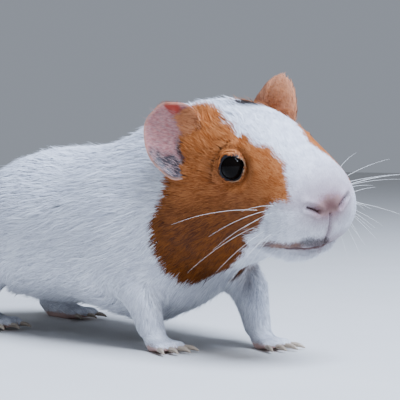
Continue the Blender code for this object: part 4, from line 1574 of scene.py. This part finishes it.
def unrolled_legs(points):
    """Places on the legs unrolled: the turn about each leg's own axis, in its own quarter, and the height."""
    corner_of = (points[:, 0] < HIND_LEGS_BEHIND) * 2 + (points[:, 1] > 0)
    places = np.zeros((len(points), 2))
    for number, corner in enumerate(LEGS):
        mine = corner_of == number
        away = points[mine, :2] - leg_axis(corner, points[mine, 2])[0]
        turn = np.arctan2(away[:, 1], away[:, 0]) / (2 * np.pi)
        places[mine] = np.stack([0.13 + 0.25 * number + 0.2 * turn, 0.05 + points[mine, 2] / 40], -1)
    return places


on_leg = (leg_share(body_roots) > 0.5) & (body_roots[:, 2] < 30)
on_body = np.flatnonzero(~on_leg)
nose_to_rump = on_body[np.argsort(-body_roots[on_body, 0])]
for number, chosen in enumerate(np.array_split(nose_to_rump, BODY_PIECES), 1):
    slot = "tan_coat" if tan_share(body_roots[chosen]).mean() > 0.5 else "white_coat"
    show_coat(f"coat_{number}", slot, chosen, unrolled(body_roots[chosen]))
show_coat("coat_legs", "white_coat", np.flatnonzero(on_leg), unrolled_legs(body_roots[on_leg]))

# %% [markdown]
# ### The ears' finish
#
# Thin skin over cartilage lets light through, so it glows warmer where it is thinnest.  This animal's
# right ear has dark pigment in its lower part, painted shade in the ear's opening, and one red spot at the
# top of the rim.

# %% The ears' finish and pieces


def ear_finish():
    """Thin bare skin: dusky pink, dark pigment low down and painted shade in the opening, a red spot, fine
    wrinkles, light through it.
    """
    material = finish("thin_ear_skin", Roughness=0.5, IOR=1.4, Subsurface_Weight=0.35)
    with_shader(material, Subsurface_Radius=(1.0, 0.35, 0.25), Subsurface_Scale=1.2 * MM)
    wrinkle = add(material, "noise", sized(material, 1.5, (1, 1, 0.4)) | {"Detail": 2.5})
    blotch = add(material, "noise", sized(material, 3.5) | {"Detail": 3.0})
    rosy = add(material, "range", {"Value": wrinkle, "From Min": 0.35, "From Max": 0.7})
    pink = add(material, "mix", {SHARE: rosy, UNDER: "#96605f", OVER: "#bd8985"})
    low = add(material, "product", {0: add(material, "mark", attribute_name="low"), 1: blotch})
    pigment_and_shade = add(material, "range", {"Value": low, "From Min": 0.18, "From Max": 0.46})
    # near black: dark pigment low down, and painted shade in the ear's opening
    shade = add(material, "mix", {SHARE: pigment_and_shade, UNDER: pink, OVER: "#332a2e"})
    shade = laid_over(material, shade, red="#9a3528", rim="#c09078", furry="#9a5a2c")
    bump = add(material, "bump", {"Height": wrinkle, "Distance": 0.25 * MM, "Strength": 0.7})
    return with_shader(material, Base_Color=shade, Normal=bump)


def furred_edge(across, upward):
    """1 on the ear's front edge, which tan hair covers, up to but not over the red spot at its top."""
    front = 0.75 * np.maximum(upward, 0) - across - 2.1 * np.maximum(upward - 0.6, 0)
    return smooth_step((front - 0.45) / 0.2) * smooth_step((upward + 0.55) / 0.3)


EAR_SKIN = ear_finish()
ear_grounds = {}
for side in HANDS:
    rings, share, behind = ear_rings(side)
    points, sets = closed_form(rings)
    ear = new_mesh(f"ear_petal_{side}", points, sets)
    share, behind = (np.append(part.ravel(), part[[0, -1], 0]) for part in (share, behind))
    ear_grounds[side] = ground_of(ear), behind
    across, upward, _ = in_ear_frame(points, side)
    red = smooth_step((0.3 - np.hypot(across - 0.08, upward - 0.88)) / 0.12) * (side == "right")
    # the ear's opening is darkened as painted shade, the lower part as dark pigment
    canal = bell(np.hypot(across + 0.25, upward + 0.2), 0.4)
    low = np.maximum(smooth_step((-upward - 0.1) / 0.6), canal) * (1 - behind)
    furry = np.maximum(furred_edge(across, upward), behind * smooth_step((0.9 - share) / 0.1))
    write(ear, low=low, red=red, rim=smooth_step((share - 0.9) / 0.1) * 0.6, furry=furry)
    move_points(ear, placed(points))
    show(ear, EAR_SKIN, "ear_skin", f"ear_{side}")
    print(f"ear_petal_{side}: {len(points)} points")

# %% [markdown]
# ### Hair on the ears
#
# The backs of the ears are furred to the rim, the hollows carry only sparse fine hairs, and tan hair from
# the head lies over the front edge.  These are three kinds of locks with their own roots, headings and
# sizes.

# %% Hair on the ears


def ear_locks(side, kind, count, draw):
    """Short locks up the back, sparse fine ones across the hollow, or a tan fringe at its front edge."""
    ground, behind = ear_grounds[side]
    out, along, _ = ear_directions(side)
    across, upward, _ = in_ear_frame(ground["points"], side)
    share = np.hypot(across, upward)
    hollow = (1 - behind) * smooth_step((0.97 - share) / 0.1) * (upward < 0.75)
    edge = furred_edge(across, upward) * (1 - 0.5 * behind)
    back = behind * smooth_step(((0.8 if side == "right" else 1.0) - share) / 0.05)
    weights, heading, width, depth = {
        "back": (back, 0.25 * out + along, 0.25, 0.8),
        "hollow": (hollow, out + 0.1 * along, 0.1, 0.2),
        "fringe": (edge, out + 0.15 * along, 0.26, 0.9),
    }[kind]
    roots, outward, at = scattered(ground, weights, count, draw)
    heading = unit(laid_on(outward, heading + 0.12 * draw.standard_normal((count, 3))))
    length = draw.uniform(2.6, 4.4, count)
    width = width * draw.uniform(0.7, 1.3, count)
    return roots, locks(ground, roots, outward, at, heading, length, width, np.full(count, depth), draw)


EAR_HAIR = {  # how many locks, how tan, how pink
    "back": (5200, 0.93, 0.0), "hollow": (400, 0.3, 0.7), "fringe": (1500, 0.97, 0.0),
}
EAR_UNROLLED = 32.0  # mm that the ears' unwrap is wide
for side, hand in HANDS.items():
    draw = np.random.default_rng(31 + hand)
    for kind, (count, tan, blush) in EAR_HAIR.items():
        roots, grown = ear_locks(side, kind, count, draw)
        across, upward, _ = in_ear_frame(roots, side)
        places = np.stack([across * EAR_LENGTH, upward * EAR_HALF_HEIGHT], -1) / EAR_UNROLLED + 0.5
        marks = {"tan": tan, "blush": blush, "dark": 0.0, "depth": 0.0}
        values = {name: np.full(count, value) for name, value in marks.items()}
        values |= {"chance": draw.uniform(0.35, 1, count), "tip": np.full(LOCK_CORNERS, 0.6)}
        show(coat_mesh(f"coat_ear_{kind}_{side}", grown, places, **values), HAIR, "tan_coat")
        print(f"coat_ear_{kind}_{side}: {count} locks")

# %% [markdown]
# ## Claws
#
# Claws are small bowed cones of pale horn, one on each toe, rooted inside the toe's tip.

# %% Claws
CLAW_ROOT = 2.6  # mm of each claw that is inside the toe
CLAW_ROWS, CLAW_ROUND = 16, 14


def horn_finish():
    """Pale claw horn: warm grey-beige, smooth with lengthwise streaks, lightly glossy."""
    material = finish("pale_claw_horn", Roughness=0.32, IOR=1.54)
    # the horn's own grain is finer than this, and would not show
    streak = add(material, "noise", sized(material, 0.35, (6, 1, 1)))
    shade = add(material, "mix", {SHARE: streak, UNDER: "#7f6c5a", OVER: "#cbbca8"})
    bump = add(material, "bump", {"Height": streak, "Distance": 0.05 * MM})
    return with_shader(material, Base_Color=shade, Normal=bump)


def claw_rings(corner, toe_path, heading):
    """A bowed cone from inside the toe's tip to a point a little lower."""
    base = toe_path[-1] + heading * 0.1 * LEGS[corner][1]["toe_radius"] + [0, 0, 0.2]
    start = base - heading * CLAW_ROOT + [0, 0, 0.1]
    bow = (start, base + heading * 0.35 * CLAW_LENGTH, base + heading * CLAW_LENGTH - [0, 0, 0.9])
    return tube_points(bow, CLAW_RADIUS * np.array([1.0, 0.85, 0.27]), CLAW_ROWS, CLAW_ROUND)


HORN = horn_finish()
for corner in LEGS:
    forms = [closed_form(claw_rings(corner, *toe)) for toe in toe_paths(corner)]
    nodes = [f"claw_{corner}_{number}" for number in range(1, len(forms) + 1)]
    points, sets = joined(forms)
    show(new_mesh(f"claws_{corner}", placed(points), sets), HORN, "claw_horn", *nodes)
    print(f"claws_{corner}: {len(forms)}")

# %% [markdown]
# ## Whiskers
#
# Whiskers are stiff tapering hairs in rows on the pads beside the nose, long at the back and short in
# front.  Each starts out with its place's own sweep and rise, a little off the skin, and bows down under
# its weight.  Those of the right pad lie back along the cheek and some of them are lost; those of the left
# pad stand further out.

# %% Whiskers
WHISKER_RADIUS, WHISKER_TIP = 0.048, 0.012
WHISKER_RINGS, WHISKER_SIDES = 14, 5
BARE_BEFORE = 0.3  # of each row: the foremost roots carry no long whisker
LEANING = {  # how the whiskers of each pad lie: `rear` is 1 in the rear column, `low` is 1 in the lowest row
    "right": dict(
        lost=0.2,
        swept=lambda low, rear: 100 + 54 * rear,
        tilt=lambda low, rear: 2 - 40 * low - 25 * (1 - rear),
        length=lambda low, rear: (9 + 33 * rear**2) * (1 - 0.25 * low),
        uneven=(0.55, 1.25),
        droop=0.24,
    ),
    "left": dict(
        lost=0.0,
        swept=lambda low, rear: 66 + 44 * rear,
        tilt=lambda low, rear: 18 - 72 * low - 10 * rear,
        length=lambda low, rear: (11 + 25 * rear) * (1 - 0.4 * low),
        uneven=(0.6, 1.2),
        droop=0.12,
    ),
}


def whisker_finish():
    """Clear keratin: near white, glossy, a trace of warmth."""
    material = finish("clear_whisker", Roughness=0.3, IOR=1.55)
    warmth = add(material, "noise", sized(material, 4.0))
    shade = add(material, "mix", {SHARE: warmth, UNDER: "#f2efe9", OVER: "#ffffff"})
    return with_shader(material, Base_Color=shade)


def whisker_rings(root, heading, length, droop):
    """A tapering tube along a path that starts out at `heading` and falls as the square of the way."""
    t = np.linspace(0, 1, WHISKER_RINGS)[:, None]
    path = root + heading * length * t + np.array([0, 0, -1.0]) * droop * length * t**2
    ahead = unit(np.gradient(path, axis=0))
    side = unit(np.cross(ahead, [0.3, 0.1, 1.0]))
    size = WHISKER_RADIUS * (1 - 0.85 * t) + WHISKER_TIP
    return circles(path, side * size, np.cross(side, ahead) * size, WHISKER_SIDES)


def whisker_forms(side, draw):
    """One closed tube for each root of the pad, apart from the foremost ones and a few lost ones."""
    way = LEANING[side]
    for follicle, low, rear in zip(*FOLLICLES[side]):
        if rear < BARE_BEFORE or (way["lost"] and draw.random() < way["lost"]):
            continue
        nearest = length_of(skin_ground["points"] - follicle).argmin()
        root, outward = skin_ground["points"][nearest], skin_ground["normals"][nearest]
        swept = way["swept"](low, rear) + draw.normal(0, 9)
        tilt = way["tilt"](low, rear) + draw.normal(0, 8)
        heading = direction(*np.radians([swept, tilt])) * [1, HANDS[side], 1]
        heading = unit(heading + 0.25 * outward)
        length = way["length"](low, rear) * draw.uniform(*way["uneven"])
        yield closed_form(whisker_rings(root - outward * 0.5, heading, length, way["droop"]))


WHISKER = whisker_finish()
for side, hand in HANDS.items():
    forms = list(whisker_forms(side, np.random.default_rng(60 + hand)))
    points, sets = joined(forms)
    show(new_mesh(f"whiskers_{side}", placed(points), sets), WHISKER, "white_coat")
    print(f"whiskers_{side}: {len(forms)}")

# %% [markdown]
# ## Floor, light and camera
#
# A plain pale floor, one broad soft light high over the head, and an even pale sky all round, which
# softens the shadows as an overcast day would.  A small weak light in front only puts the glint in the
# eyes.  The camera looks at the head from the animal's right front, as low as the animal itself, through
# a long lens.

# %% The studio
FLOOR_SIZE = 6000.0
SKY, SKY_STRENGTH = "#d6dfee", 0.42
LIT_PLACE = np.array([0.05, 0.0, 0.05])  # in metres: the back of the head


def paper_finish():
    """Matt paper: pale grey, rough, very faintly cloudy."""
    material = finish("matt_paper", Roughness=0.9)
    cloud = add(material, "noise", sized(material, 40.0))
    shade = add(material, "mix", {SHARE: cloud, UNDER: "#c6c4c0", OVER: "#cecbc7"})
    return with_shader(material, Base_Color=shade)


def soft_light(name, place, size, watts, hex_code):
    """A square area light at `place` that faces the back of the head; place and size are in metres."""
    light = bpy.data.lights.new(name, "AREA")
    light.size = size
    light.energy = watts
    light.color = colour(hex_code)[:3]
    lamp = linked(name, light)
    lamp.location = place
    way = LIT_PLACE - place
    yaw, tilt = np.arctan2(way[1], way[0]) - np.pi / 2, np.arctan2(np.hypot(way[0], way[1]), -way[2])
    lamp.rotation_euler = (tilt, 0, yaw)


corners = np.array([[-1, -1, 0], [1, -1, 0], [1, 1, 0], [-1, 1, 0]]) * FLOOR_SIZE / 2
floor = linked("floor", new_mesh("floor", corners, [np.array([[0, 1, 2, 3]])]))
floor.data.materials.append(paper_finish())
floor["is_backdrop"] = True

world = bpy.data.worlds.new("studio")
world.use_nodes = True
world.node_tree.nodes["Background"].inputs["Color"].default_value = colour(SKY)
world.node_tree.nodes["Background"].inputs["Strength"].default_value = SKY_STRENGTH
bpy.context.scene.world = world

soft_light("key", np.array([0.56, 0.0, 1.02]), 0.6, 49.0, "#d3e3ff")
soft_light("catchlight", np.array([0.88, -0.165, 0.63]), 0.16, 5.5, "#e6efff")
print("lights:", [lamp.name for lamp in bpy.data.lights])

# %% [markdown]
# ### The camera's place
#
# The camera stands on a ray from the middle of the view, which is told from the snout: so far to its side
# and so far over it.  The lens gives the field that is wanted at the snout's distance.

# %% The camera
CAMERA_TURN, CAMERA_RISE, CAMERA_DISTANCE = np.radians(49.0), np.radians(2.0), 500.0
FIELD = 133.6  # mm across the view, in the plane of the snout
SNOUT = np.array([105.4, -6.6, 55.1])
SNOUT_RIGHT, SNOUT_BELOW = 43.75, 2.67  # mm from the middle of the view

backward = unit(np.array([np.sin(CAMERA_TURN), -np.cos(CAMERA_TURN), np.tan(CAMERA_RISE)]))
to_right = np.array([np.cos(CAMERA_TURN), np.sin(CAMERA_TURN), 0.0])
aim = SNOUT - to_right * SNOUT_RIGHT + np.cross(backward, to_right) * SNOUT_BELOW
camera = linked("camera", bpy.data.cameras.new("camera"))
camera.location = (aim + backward * CAMERA_DISTANCE) * MM
camera.rotation_euler = (np.pi / 2 - CAMERA_RISE, 0, CAMERA_TURN)
camera.data.lens = 50.0
camera.data.sensor_width = camera.data.lens * FIELD / CAMERA_DISTANCE
camera.data.clip_start = 0.01
bpy.context.scene.camera = camera
print("the camera stands at", np.round(np.array(camera.location) / MM, 1), "mm")

# %% [markdown]
# ## The model's size
#
# The box of what was modelled over the solids is measured and printed, as the solids' box was at the start.

# %% Sizes, and the last step
visual_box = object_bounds()
[[list(map(float, corner)) for corner in box] for box in (cad_box, visual_box)]
print("the model's box in mm:", np.round(np.array(visual_box) / MM, 1).tolist())
